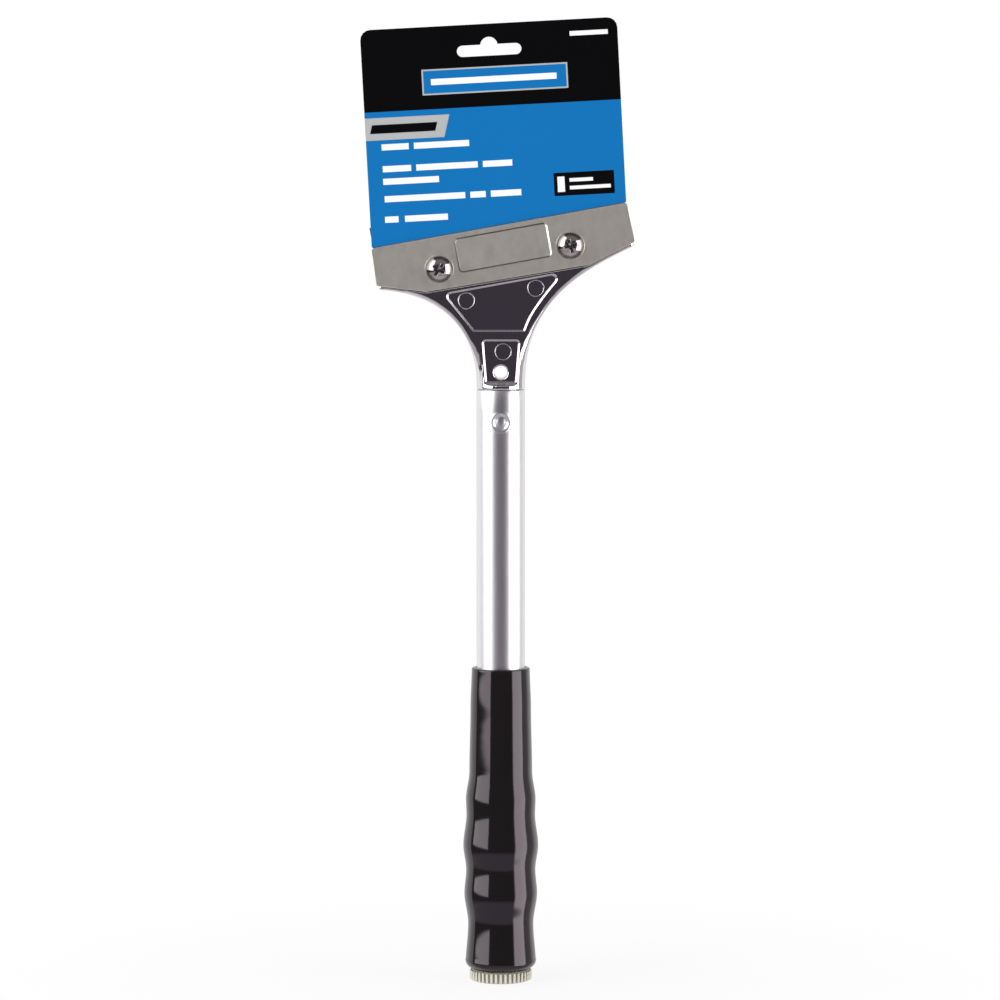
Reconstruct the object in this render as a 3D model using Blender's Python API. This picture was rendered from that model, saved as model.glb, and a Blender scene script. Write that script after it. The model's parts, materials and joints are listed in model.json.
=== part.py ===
"""Floor scraper with a skewed four-inch head, a blade card and a hollow handle that stores spare blades.

Metres, +Z up. The origin is the middle of the end cap's flat bottom, the handle stands on +Z,
the clamp plate faces -Y and +X is to the right of somebody who looks at the clamp plate.
Head pieces are drawn in a frame of their own: X runs along the blade, Z points out over its edge.
"""
import math

import bmesh
import bpy
from mathutils import Matrix, Vector

# Fits that all pieces share
TOUCH_GAP = 0.0003
OVERRUN = 0.004
MERGE_SHARE = 0.01
SMOOTH_ANGLE = math.radians(38)

# End cap, which stands on the ground plane
CAP_WALL = 0.002825
CAP_RIM_HEIGHT = 0.0045
CAP_CHAMFER = 0.0006
CAP_RIB_COUNT = 36
CAP_RIB_DEPTH = 0.0005
CAP_PLUG_HEIGHT = 0.0120
CAP_PLUG_WALL = 0.0018
CAP_PLUG_LEAD = 0.0008

# Handle tube
TUBE_WALL = 0.0009
TUBE_BLADE_PLAY = 0.00125
TUBE_LENGTH = 0.2295
TUBE_STEPS = 64
CRIMP_DIAMETER = 0.0066
CRIMP_DEPTH = 0.0011
CRIMP_BELOW_COLLAR = 0.0127
CRIMP_STEPS = 24
CRIMP_RINGS = 16

# Grip sleeve: heights and wall follow the photographed swells, as shares chosen by hand
GRIP_LENGTH = 0.1198
GRIP_WALL = 0.005325
GRIP_FOOT_ROUND = 0.0034
GRIP_LIP_ROUND = 0.0007
GRIP_STEPS = 48
GRIP_SWELL_ROWS = 5
GRIP_CONTROL_SHARES = (
    (1.000, 0.368), (0.866, 0.460), (0.656, 0.545), (0.563, 0.800), (0.512, 0.764),
    (0.410, 1.000), (0.329, 0.789), (0.250, 0.922), (0.150, 0.640), (0.000, 0.851),
)

# Spare blades and the fitted blade are the same pattern
BLADE_LENGTH = 0.1000
BLADE_WIDTH = 0.0160
BLADE_THICKNESS = 0.0006
BLADE_GRIND = 0.0026
BLADE_EDGE_LAND = 0.00012
BLADE_OUT = 0.0080
SPARE_BLADE_COUNT = 4

# Head frame: the middle of the clamp plate's upper edge, and how far the head is skewed
HEAD_SKEW = math.radians(10.2)
HEAD_RISE = 0.0642
HEAD_SHIFT = -0.0007
HEAD_FACE_DROP = 0.002725
HEAD_THICKNESS = 0.0090
HEAD_INSIDE_PLATE = 0.00025
HEAD_LEFT_END = 0.0164
HEAD_RIGHT_END = 0.0172
HEAD_EDGE_ROUND = 0.0017
HEAD_BACK_ROUND = 0.0010

# Neck of the casting, from the collar to the arms
COLLAR_HEIGHT = 0.0018
COLLAR_STEP = 0.0003
NECK_STRAIGHT = 0.0030
NECK_LEFT_PULL = 0.0165
NECK_RIGHT_PULL = 0.0323
ARM_LEFT_PULL = 0.0280
ARM_RIGHT_PULL = 0.0215
ARM_LEFT_SLOPE = math.radians(13.4)
ARM_RIGHT_SLOPE = math.radians(15.4)
NECK_BLEND_HEIGHT = 0.0220
BACK_BLEND_HEIGHT = 0.0330
ARM_ROWS = 16
END_ROWS = 3
EDGE_COLUMNS = 6
INNER_COLUMNS = 3
EDGE_BAND_SHARE = 0.86
MIDDLE_SHARE = 0.5
SPIGOT_LENGTH = 0.0260
SPIGOT_BORE = 0.0100
SPIGOT_ROOT = 0.0020
SPIGOT_CHAMFER = 0.0010
HANG_HOLE_DIAMETER = 0.0065
HANG_HOLE_RISE = 0.0067
HOLE_STEPS = 32

# Recessed panels in the casting's face
PANEL_DEPTH = 0.0012
PANEL_WALL = 0.0015
PANEL_FOOT_WALL = 0.0019
PANEL_LEFT_CORNER = 0.0020
PANEL_RIGHT_CORNER = 0.0023
PANEL_FOOT_CORNER = 0.0008
PANEL_FLOOR_CORNER_SHARE = 0.6
PANEL_BELOW_PLATE = 0.0006
PANEL_TOP_LEFT = 0.0270
PANEL_TOP_RIGHT = 0.0236
PANEL_RIGHT_PULL = 0.0080
PANEL_RIGHT_SLOPE = math.radians(40)
PANEL_FOOT_SLOPE = math.radians(67)
PANEL_RIGHT_SHARES = (0.35, 0.50, 0.65, 0.80)
PANEL_FOOT_RISE = 0.0224
PANEL_LEFT_PAST_TUBE = 0.0014
PANEL_RIGHT_PAST_TUBE = 0.00015
KEYSTONE_RISE = 0.0022
KEYSTONE_HEIGHT = 0.0177
KEYSTONE_FOOT_WALL = 0.0028
KEYSTONE_TOP_WALL = 0.0014
KEYSTONE_SIDE = 0.0013
KEYSTONE_CORNER = 0.0016
EJECTOR_MARK_DIAMETER = 0.0063
EJECTOR_MARK_DEPTH = 0.00025
EJECTOR_PANEL_DROP = 0.0048
EJECTOR_LEFT = 0.0178
EJECTOR_RIGHT = 0.0098
EJECTOR_KEYSTONE_RISE = 0.0149
EJECTOR_KEYSTONE_SHIFT = 0.0009

# Back of the casting: rim, ribs and screw bosses
BACK_RIM = 0.0024
BACK_WEB = 0.0025
BACK_POCKET_RISE = 0.0290
RIB_THICKNESS = 0.0018
BOSS_DIAMETER = 0.0106

# Clamp plate
PLATE_THICKNESS = 0.0015
PLATE_PROUD = 0.0006
PLATE_PAST_BLADE = 0.00075
PLATE_FLARE = 0.00055
PLATE_LEFT_SIDE = 0.0147
PLATE_RIGHT_SIDE = 0.0155
PLATE_LEFT_HEIGHT = 0.0204
PLATE_RIGHT_HEIGHT = 0.0212
PLATE_FOOT_STEP = 0.0188
PLATE_CORNER = 0.0010
PLATE_EDGE_ROUND = 0.0003
BADGE_LENGTH = 0.0372
BADGE_HEIGHT = 0.0138
BADGE_DROP = 0.0018
BADGE_CORNER = 0.0020
BADGE_PROUD = 0.0005
BADGE_SLOPE = 0.0004
CORNER_STEPS = 4

# Clamp screws
SCREW_SPREAD = 0.0260
SCREW_DROP = 0.0126
SCREW_HEAD_DIAMETER = 0.0102
SCREW_HEAD_HEIGHT = 0.0027
SCREW_HEAD_EDGE = 0.0008
SCREW_DIAMETER = 0.0050
SCREW_LENGTH = 0.0090
SCREW_STEPS = 32
SCREW_DOME_ROWS = 5
CROSS_REACH = 0.0027
CROSS_WING = 0.00055
CROSS_DEPTH = 0.0019
CROSS_FLOOR_SHARE = 0.45
LEFT_CROSS_TURN = math.radians(45)
RIGHT_CROSS_TURN = math.radians(7)

# Blade card, which hangs the scraper up and covers its edge
CARD_TILT = math.radians(3.05)
CARD_PLY = 0.0005
CARD_PAST_BLADE = 0.0001
CARD_RISE = 0.0786
CARD_CORNER = 0.0040
CARD_RAMP = 0.0120
CARD_RAMP_START = 0.0010
SLOT_RISE = 0.0684
SLOT_LENGTH = 0.0252
SLOT_HEIGHT = 0.0044
SLOT_BUMP_RADIUS = 0.0034
SLOT_BUMP_RISE = 0.0017
SLOT_SHIFT = -0.0002

# Places that follow from the sizes above
BORE_RADIUS = (BLADE_WIDTH + TUBE_BLADE_PLAY) / 2
TUBE_RADIUS = BORE_RADIUS + TUBE_WALL
CAP_RADIUS = TUBE_RADIUS + CAP_WALL
PLUG_RADIUS = BORE_RADIUS - TOUCH_GAP
TUBE_FOOT = CAP_RIM_HEIGHT + TOUCH_GAP
COLLAR_FOOT = TUBE_FOOT + TUBE_LENGTH + TOUCH_GAP
CRIMP_HEIGHT = COLLAR_FOOT - CRIMP_BELOW_COLLAR
CRIMP_SPHERE = (CRIMP_DIAMETER ** 2 / 4 + CRIMP_DEPTH ** 2) / (2 * CRIMP_DEPTH)
CRIMP_CENTRE = TUBE_RADIUS + CRIMP_SPHERE - CRIMP_DEPTH
NECK_TOP = COLLAR_FOOT + NECK_STRAIGHT
HEAD_FACE = TUBE_RADIUS - HEAD_FACE_DROP
HEAD_BACK = HEAD_FACE - HEAD_THICKNESS
PLATE_TOP_HALF = BLADE_LENGTH / 2 + PLATE_PAST_BLADE
PLATE_LOW_HALF = PLATE_TOP_HALF + PLATE_FLARE
PLATE_FOOT_HALF = PLATE_LOW_HALF - PLATE_FOOT_STEP
HEAD_HALF = PLATE_TOP_HALF - HEAD_INSIDE_PLATE
CARD_WIDTH = BLADE_LENGTH + 2 * CARD_PAST_BLADE
HEAD_HEIGHT = COLLAR_FOOT + HEAD_RISE
PLATE_FRONT = HEAD_FACE + PLATE_PROUD
PLATE_BACK = PLATE_FRONT - PLATE_THICKNESS
PLATE_SEAT = PLATE_BACK - TOUCH_GAP
BLADE_FRONT = PLATE_SEAT
BLADE_SEAT = BLADE_FRONT - BLADE_THICKNESS - TOUCH_GAP
POCKET_FLOOR = BLADE_SEAT - BACK_WEB
PANEL_FLOOR = HEAD_FACE - PANEL_DEPTH
PANEL_TOP = PLATE_RIGHT_HEIGHT + PANEL_BELOW_PLATE
CARD_FRONT = BLADE_FRONT + TOUCH_GAP + CARD_PLY
CARD_BACK = BLADE_SEAT - CARD_PLY
CARD_MIDDLE = CARD_FRONT - CARD_PLY


def clear_scene():
    """Start from an empty file without closing it."""
    for old in list(bpy.data.objects):
        bpy.data.objects.remove(old, do_unlink=True)


def make_material(name, colour, roughness, metallic):
    """One Principled material, in the piece's own colour."""
    material = bpy.data.materials.new(name)
    material.use_nodes = True
    shader = material.node_tree.nodes["Principled BSDF"]
    shader.inputs["Base Color"].default_value = (*colour, 1.0)
    shader.inputs["Roughness"].default_value = roughness
    shader.inputs["Metallic"].default_value = metallic
    material.diffuse_color = (*colour, 1.0)
    return material


def add_object(name, shape, material=None, parent=None):
    """Turn a bmesh into a named object, with its normals outwards and round faces smooth."""
    bmesh.ops.recalc_face_normals(shape, faces=shape.faces)
    mesh = bpy.data.meshes.new(name)
    shape.to_mesh(mesh)
    shape.free()
    mesh.shade_smooth()
    mesh.set_sharp_from_angle(angle=SMOOTH_ANGLE)
    piece = bpy.data.objects.new(name, mesh)
    bpy.context.scene.collection.objects.link(piece)
    if material:
        mesh.materials.append(material)
    if parent:
        piece.parent = parent
    return piece


def shape_piece(piece, tool, operation="DIFFERENCE"):
    """Cut, join or trim a piece with a tool that the build leaves out."""
    tool.hide_render = True
    tool.display_type = "WIRE"
    step = piece.modifiers.new(tool.name, "BOOLEAN")
    step.operation = operation
    step.solver = "EXACT"
    step.object = tool
    return tool


def settle(piece):
    """Make a piece's cuts final, mend their small faults and mark the edges that stay sharp."""
    depsgraph = bpy.context.evaluated_depsgraph_get()
    mesh = bpy.data.meshes.new_from_object(piece.evaluated_get(depsgraph))
    shape = bmesh.new()
    shape.from_mesh(mesh)
    mend_cuts(shape)
    shape.to_mesh(mesh)
    shape.free()
    mesh.shade_smooth()
    mesh.set_sharp_from_angle(angle=SMOOTH_ANGLE)
    piece.modifiers.clear()
    piece.data = mesh
    return piece


def mend_cuts(shape):
    """Drop what the cuts left without area, and put back a flat facet that a cut has lost."""
    merge_points(shape)
    idle = [point for point in shape.verts if len(point.link_edges) == 2]
    bmesh.ops.dissolve_verts(shape, verts=idle)
    open_edges = [edge for edge in shape.edges if len(edge.link_faces) == 1]
    bmesh.ops.holes_fill(shape, edges=open_edges)
    bmesh.ops.recalc_face_normals(shape, faces=shape.faces)


def loft(rings, closed_ends=True):
    """Skin a list of rings, each a list of points of the same count."""
    shape = bmesh.new()
    rows = []
    for ring in rings:
        rows.append([shape.verts.new(point) for point in ring])
    count = len(rows[0])
    for low, high in zip(rows, rows[1:]):
        for index in range(count):
            following = (index + 1) % count
            shape.faces.new((low[index], low[following], high[following], high[index]))
    if closed_ends:
        shape.faces.new(rows[0])
        shape.faces.new(reversed(rows[-1]))
    return shape


def stepped_prism(*levels):
    """A prism whose outline changes: each level is an outline and its distance to the front."""
    rings = []
    for outline, front in levels:
        rings.append([(x, -front, z) for x, z in outline])
    return loft(rings)


def prism(outline, low, high):
    """A flat outline of (x, z) points, as thick as the span between two distances to the front."""
    return stepped_prism((outline, low), (outline, high))


def turned(profile, steps):
    """Spin a closed profile of (radius, height) points round the Z axis."""
    rings = []
    for step in range(steps):
        angle = math.tau * step / steps
        rings.append([(r * math.cos(angle), r * math.sin(angle), z) for r, z in profile])
    shape = loft(rings + rings[:1], closed_ends=False)
    merge_points(shape)
    return shape


def merge_points(shape):
    """Join points that lie on each other, and drop the faces and edges that this flattens."""
    reach = TOUCH_GAP * MERGE_SHARE
    bmesh.ops.remove_doubles(shape, verts=shape.verts, dist=reach)
    bmesh.ops.dissolve_degenerate(shape, edges=shape.edges, dist=reach)
    bare = [edge for edge in shape.edges if not edge.link_faces]
    bmesh.ops.delete(shape, geom=bare, context="EDGES")


def cylinder(radius, low, high, steps):
    """A round bar on the Z axis."""
    return turned([(0, low), (radius, low), (radius, high), (0, high)], steps)


def lay_to_front(piece, x, z, turn=0.0):
    """Lay a piece that was turned on Z so that its axis points out of the face, towards -Y."""
    lying = Matrix.Rotation(math.radians(90), 4, "X")
    piece.matrix_local = Matrix.Translation((x, 0, z)) @ lying @ Matrix.Rotation(turn, 4, "Z")
    return piece


def smooth_share(value):
    """Ease from 0 to 1."""
    bounded = min(max(value, 0.0), 1.0)
    return bounded * bounded * (3 - 2 * bounded)


def blend(start, end, share):
    """Mix two numbers or two points."""
    return start * (1 - share) + end * share


def rounded_outline(corners, radii):
    """An outline with each corner rounded by its own radius; corners go round in order."""
    outline = []
    count = len(corners)
    for index, (corner, radius) in enumerate(zip(corners, radii)):
        here = Vector(corner)
        before = (Vector(corners[index - 1]) - here).normalized()
        after = (Vector(corners[(index + 1) % count]) - here).normalized()
        if not radius:
            outline.append(here)
            continue
        half = math.acos(max(-1.0, min(1.0, before.dot(after)))) / 2
        middle = here + (before + after).normalized() * (radius / math.sin(half))
        first = (here + before * (radius / math.tan(half)) - middle).normalized()
        last = (here + after * (radius / math.tan(half)) - middle).normalized()
        for step in range(CORNER_STEPS + 1):
            spoke = first.slerp(last, step / CORNER_STEPS)
            outline.append(middle + spoke * radius)
    return [(point.x, point.y) for point in outline]


def inset_outline(outline, distance):
    """Move an outline inwards by a distance; the outline runs clockwise as seen from the front."""
    moved = []
    count = len(outline)
    for index in range(count):
        here = Vector(outline[index])
        into = (here - Vector(outline[index - 1])).normalized()
        away = (Vector(outline[(index + 1) % count]) - here).normalized()
        first = Vector((into.y, -into.x))
        second = Vector((away.y, -away.x))
        moved.append(here + (first + second) * (distance / (1 + first.dot(second))))
    return [(point.x, point.y) for point in moved]


def head_to_world(x, z):
    """A point of the skewed head frame, in the handle's frame."""
    turned_x = x * math.cos(HEAD_SKEW) - z * math.sin(HEAD_SKEW)
    turned_z = x * math.sin(HEAD_SKEW) + z * math.cos(HEAD_SKEW)
    return Vector((HEAD_SHIFT + turned_x, HEAD_HEIGHT + turned_z))


def head_frame():
    """The empty that carries the pieces of the head."""
    frame = bpy.data.objects.new("head_frame", None)
    bpy.context.scene.collection.objects.link(frame)
    frame.location = (HEAD_SHIFT, 0, HEAD_HEIGHT)
    frame.rotation_euler = (0, -HEAD_SKEW, 0)
    return frame


def curve_point(points, share):
    """A point of a cubic curve through its four control points."""
    rest = 1 - share
    weights = (rest ** 3, 3 * rest * rest * share, 3 * rest * share * share, share ** 3)
    total = Vector((0, 0))
    for weight, point in zip(weights, points):
        total += weight * point
    return total


def left_side():
    """The casting's left side."""
    return head_side(-1, NECK_LEFT_PULL, ARM_LEFT_PULL, ARM_LEFT_SLOPE, HEAD_LEFT_END)


def right_side():
    """The casting's right side."""
    return head_side(1, NECK_RIGHT_PULL, ARM_RIGHT_PULL, ARM_RIGHT_SLOPE, HEAD_RIGHT_END)


def head_side(side, neck_pull, arm_pull, slope, end_height):
    """One side of the casting, from the collar up to the end of the blade seat."""
    edge = side * TUBE_RADIUS
    heights = (COLLAR_FOOT, COLLAR_FOOT + COLLAR_HEIGHT, COLLAR_FOOT + COLLAR_HEIGHT + COLLAR_STEP)
    line = [Vector((edge, height)) for height in heights]
    tip = head_to_world(side * HEAD_HALF, -end_height)
    inward = head_to_world(side * (HEAD_HALF - arm_pull * math.cos(slope)),
                           -end_height - arm_pull * math.sin(slope))
    start = Vector((edge, NECK_TOP))
    controls = (start, start + Vector((0, neck_pull)), inward, tip)
    for step in range(ARM_ROWS + 1):
        line.append(curve_point(controls, step / ARM_ROWS))
    for step in range(1, END_ROWS + 1):
        line.append(head_to_world(side * HEAD_HALF, -end_height * (1 - step / END_ROWS)))
    return line


def distance_to_line(point, line):
    """The shortest distance from a point to a chain of points."""
    best = None
    for start, end in zip(line, line[1:]):
        span = end - start
        share = max(0.0, min(1.0, (point - start).dot(span) / span.length_squared))
        found = (point - start - span * share).length
        if best is None or found < best:
            best = found
    return best


def row_shares(width, band):
    """Where a row of the casting has its points: close together on both rounded edges."""
    reach = min(band / width, EDGE_BAND_SHARE / 2)
    shares = []
    for column in range(EDGE_COLUMNS + 1):
        shares.append(reach * (1 - math.cos(math.pi / 2 * column / EDGE_COLUMNS)))
    for column in range(1, INNER_COLUMNS + 1):
        shares.append(blend(reach, MIDDLE_SHARE, column / INNER_COLUMNS))
    return shares + [1 - share for share in reversed(shares[:-1])]


def round_edge(distance, radius):
    """How far a rounded edge has risen at a distance from its foot."""
    inside = max(0.0, radius - distance)
    return math.sqrt(max(0.0, radius * radius - inside * inside))


def casting_body():
    """The skewed, lofted body: a round collar that opens out into two flat arms."""
    left = left_side()
    right = right_side()
    rings = []
    for row, (start, end) in enumerate(zip(left, right)):
        height = (start.y + end.y) / 2
        flat = smooth_share((height - NECK_TOP) / NECK_BLEND_HEIGHT)
        flat_back = smooth_share((height - NECK_TOP) / BACK_BLEND_HEIGHT)
        face = TUBE_RADIUS if row < 2 else HEAD_FACE
        along = (end - start).normalized()
        lean = max(abs(edge_direction(left, row).cross(along)), math.sin(ARM_LEFT_SLOPE))
        band = blend(TUBE_RADIUS, HEAD_EDGE_ROUND / lean, flat)
        front = []
        back = []
        for share in row_shares((end - start).length, band):
            point = start.lerp(end, share)
            deep = min(distance_to_line(point, left), distance_to_line(point, right))
            neck = round_edge(deep, TUBE_RADIUS)
            arm = HEAD_FACE - HEAD_EDGE_ROUND + round_edge(deep, HEAD_EDGE_ROUND)
            arm_back = -HEAD_BACK - HEAD_BACK_ROUND + round_edge(deep, HEAD_BACK_ROUND)
            front.append((point.x, -min(face, blend(neck, arm, flat)), point.y))
            back.append((point.x, blend(neck, arm_back, flat_back), point.y))
        rings.append(front + back[::-1])
    shape = loft(rings)
    merge_points(shape)
    return shape


def edge_direction(line, row):
    """Which way a side of the casting runs at one of its rows."""
    before = line[max(row - 1, 0)]
    after = line[min(row + 1, len(line) - 1)]
    return (after - before).normalized()


def plate_corners(grow):
    """The clamp plate's six corners, clockwise from the upper left one, or those of a larger plate."""
    low = PLATE_LOW_HALF
    foot = PLATE_FOOT_HALF
    return inset_outline((
        (-PLATE_TOP_HALF, 0), (PLATE_TOP_HALF, 0), (low, -PLATE_RIGHT_SIDE),
        (foot, -PLATE_RIGHT_HEIGHT), (-foot, -PLATE_LEFT_HEIGHT), (-low, -PLATE_LEFT_SIDE),
    ), -grow)


def plate_outline(grow):
    """The clamp plate's outline with its rounded corners, or a larger one."""
    corners = plate_corners(grow)
    return rounded_outline(corners, (PLATE_CORNER + grow,) * len(corners))


def past_end(start, end):
    """The point that lies some way further along a side than its end."""
    along = (Vector(end) - Vector(start)).normalized()
    return tuple(Vector(end) + along * OVERRUN)


def seat_cutter(frame):
    """Clears the casting's face for the clamp plate, open to the top and the ends."""
    half = PLATE_LOW_HALF + OVERRUN
    right_end, right_foot, left_foot, left_end = plate_corners(TOUCH_GAP)[2:]
    outline = [(-half, OVERRUN), (half, OVERRUN), past_end(right_foot, right_end), right_foot,
               left_foot, past_end(left_foot, left_end)]
    shape = prism(outline, PLATE_SEAT, HEAD_FACE + OVERRUN)
    return add_object("cut_plate_seat", shape, parent=frame)


def blade_seat_cutter(frame):
    """The shallow step that the blade lies in, with a shoulder behind it."""
    half = PLATE_LOW_HALF + OVERRUN
    drop = BLADE_WIDTH - BLADE_OUT + TOUCH_GAP
    outline = [(-half, OVERRUN), (half, OVERRUN), (half, -drop), (-half, -drop)]
    return add_object("cut_blade_seat", prism(outline, BLADE_SEAT, HEAD_FACE), parent=frame)


def panel_corners():
    """The wide recessed panel in the handle's frame: its right wall bends like the arm above it."""
    foot = COLLAR_FOOT + PANEL_FOOT_RISE
    top_left = head_to_world(-PANEL_TOP_LEFT, -PANEL_TOP)
    top_right = head_to_world(PANEL_TOP_RIGHT, -PANEL_TOP)
    inward = head_to_world(PANEL_TOP_RIGHT - PANEL_RIGHT_PULL * math.cos(PANEL_RIGHT_SLOPE),
                           -PANEL_TOP - PANEL_RIGHT_PULL * math.sin(PANEL_RIGHT_SLOPE))
    foot_right = Vector((TUBE_RADIUS + PANEL_RIGHT_PAST_TUBE, foot))
    lean = PANEL_FOOT_SLOPE + HEAD_SKEW
    upward = foot_right + PANEL_RIGHT_PULL * Vector((math.cos(lean), math.sin(lean)))
    wall = [curve_point((top_right, inward, upward, foot_right), share) for share in PANEL_RIGHT_SHARES]
    foot_left = Vector((-TUBE_RADIUS - PANEL_LEFT_PAST_TUBE, foot))
    return [tuple(point) for point in (foot_left, top_left, top_right, *wall, foot_right)]


def recess_cutter(name, corners, radii, side_wall, foot_wall):
    """A panel recess with sloping walls; the first and the last corner are those of its foot."""
    floor = inset_outline(corners, side_wall)
    for foot, above in ((0, 1), (-1, -2)):
        side = Vector(floor[above]) - Vector(floor[foot])
        floor[foot] = tuple(Vector(floor[foot]) + side * ((foot_wall - side_wall) / side.y))
    reach = 1 + TOUCH_GAP / PANEL_DEPTH
    mouth = []
    for outer, inner in zip(corners, floor):
        mouth.append(tuple(blend(Vector(inner), Vector(outer), reach)))
    wide = rounded_outline(mouth, radii)
    narrow = rounded_outline(floor, [radius * PANEL_FLOOR_CORNER_SHARE for radius in radii])
    shape = stepped_prism((narrow, PANEL_FLOOR), (wide, HEAD_FACE + TOUCH_GAP), (wide, HEAD_FACE + OVERRUN))
    return add_object(name, shape)


def keystone_corners():
    """The four corners of the tall recessed panel above the collar."""
    foot = COLLAR_FOOT + KEYSTONE_RISE
    top = foot + KEYSTONE_HEIGHT
    top_half = TUBE_RADIUS - KEYSTONE_TOP_WALL
    foot_half = TUBE_RADIUS - KEYSTONE_FOOT_WALL
    return [(-foot_half, foot), (-top_half, top), (top_half, top), (foot_half, foot)]


def ejector_mark_places():
    """Where the ejector pins left their round marks in the panels."""
    drop = PANEL_TOP + EJECTOR_PANEL_DROP
    left = head_to_world(-EJECTOR_LEFT, -drop)
    right = head_to_world(EJECTOR_RIGHT, -drop)
    low = Vector((EJECTOR_KEYSTONE_SHIFT, COLLAR_FOOT + EJECTOR_KEYSTONE_RISE))
    return (left, right, low)


def back_pocket_cutter(frame):
    """The hollow back: everything inside the rim, less the ribs and the screw bosses."""
    left = left_side()
    right = right_side()
    foot = COLLAR_FOOT + BACK_POCKET_RISE
    chain = [point for point in left[:-END_ROWS] + left[-1:] if point.y > foot]
    chain += [point for point in right[-1:] + right[-END_ROWS - 1::-1] if point.y > foot]
    outline = inset_outline([(point.x, point.y) for point in chain], BACK_RIM)
    pocket = add_object("cut_back_pocket", prism(outline, -TUBE_RADIUS - OVERRUN, POCKET_FLOOR))
    rib_foot = head_to_world(0, -HEAD_RISE)
    reach = BLADE_LENGTH
    half = RIB_THICKNESS / 2
    spread = math.atan2(SCREW_SPREAD, HEAD_RISE - SCREW_DROP)
    for name, turn in (("middle_rib", 0), ("left_rib", spread), ("right_rib", -spread)):
        bar = prism([(-half, 0), (-half, reach), (half, reach), (half, 0)],
                    -TUBE_RADIUS - 2 * OVERRUN, POCKET_FLOOR + OVERRUN)
        rib = add_object("keep_" + name, bar)
        rib.location = (rib_foot.x, 0, rib_foot.y)
        rib.rotation_euler = (0, -HEAD_SKEW - turn, 0)
        shape_piece(pocket, rib)
    for side in (-1, 1):
        boss = cylinder(BOSS_DIAMETER / 2, -POCKET_FLOOR - OVERRUN, TUBE_RADIUS + 2 * OVERRUN, HOLE_STEPS)
        keeper = add_object("keep_boss_" + ("left" if side < 0 else "right"), boss, parent=frame)
        keeper.location = (side * SCREW_SPREAD, 0, -SCREW_DROP)
        keeper.rotation_euler = (math.radians(-90), 0, 0)
        shape_piece(pocket, keeper)
    return pocket


def crimp_ball(name, radius):
    """A ball on the crimp's centre, in front of the tube."""
    shape = bmesh.new()
    bmesh.ops.create_uvsphere(shape, u_segments=CRIMP_STEPS, v_segments=CRIMP_RINGS, radius=radius)
    ball = add_object(name, shape)
    ball.location = (0, -CRIMP_CENTRE, CRIMP_HEIGHT)
    ball.rotation_euler = (math.radians(90), 0, 0)
    return ball


def front_hole_cutter(name, radius, low, high, x, z, parent=None):
    """A round hole between two distances to the front."""
    hole = add_object(name, cylinder(radius, low, high, HOLE_STEPS), parent=parent)
    return lay_to_front(hole, x, z)


def head_casting(frame):
    """The die-cast head: collar, neck and skewed arms with panels, seats, bosses and a spigot."""
    chrome = make_material("chrome_casting", (0.60, 0.59, 0.61), 0.12, 1.0)
    casting = add_object("head_casting", casting_body(), chrome)
    radius = PLUG_RADIUS
    foot = COLLAR_FOOT - SPIGOT_LENGTH
    bar = [(SPIGOT_BORE / 2, COLLAR_FOOT + SPIGOT_ROOT), (SPIGOT_BORE / 2, foot),
           (radius - SPIGOT_CHAMFER, foot), (radius, foot + SPIGOT_CHAMFER),
           (radius, COLLAR_FOOT + SPIGOT_ROOT)]
    spigot = add_object("join_spigot", turned(bar, TUBE_STEPS))
    shape_piece(casting, spigot, "UNION")
    shape_piece(casting, crimp_ball("cut_crimp_seat", CRIMP_SPHERE + TUBE_WALL + TOUCH_GAP))
    shape_piece(casting, back_pocket_cutter(frame))
    shape_piece(casting, seat_cutter(frame))
    shape_piece(casting, blade_seat_cutter(frame))
    bent = (0,) * len(PANEL_RIGHT_SHARES)
    radii = (PANEL_FOOT_CORNER, PANEL_LEFT_CORNER, PANEL_RIGHT_CORNER, *bent, PANEL_FOOT_CORNER)
    shape_piece(casting, recess_cutter("cut_wide_panel", panel_corners(), radii, PANEL_WALL, PANEL_FOOT_WALL))
    radii = (PANEL_FOOT_CORNER, KEYSTONE_CORNER, KEYSTONE_CORNER, PANEL_FOOT_CORNER)
    shape_piece(casting, recess_cutter("cut_keystone", keystone_corners(), radii, KEYSTONE_SIDE, KEYSTONE_SIDE))
    for index, place in enumerate(ejector_mark_places()):
        mark = front_hole_cutter("cut_ejector_mark_%d" % (index + 1), EJECTOR_MARK_DIAMETER / 2,
                                 PANEL_FLOOR - EJECTOR_MARK_DEPTH, HEAD_FACE, place.x, place.y)
        shape_piece(casting, mark)
    through = 2 * TUBE_RADIUS
    shape_piece(casting, front_hole_cutter("cut_hang_hole", HANG_HOLE_DIAMETER / 2, -through, through,
                                           0, COLLAR_FOOT + HANG_HOLE_RISE))
    for side, name in ((-1, "left"), (1, "right")):
        shape_piece(casting, front_hole_cutter("cut_thread_" + name, SCREW_DIAMETER / 2 + TOUCH_GAP,
                                               -through, through, side * SCREW_SPREAD, -SCREW_DROP, frame))
    return settle(casting)


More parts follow.
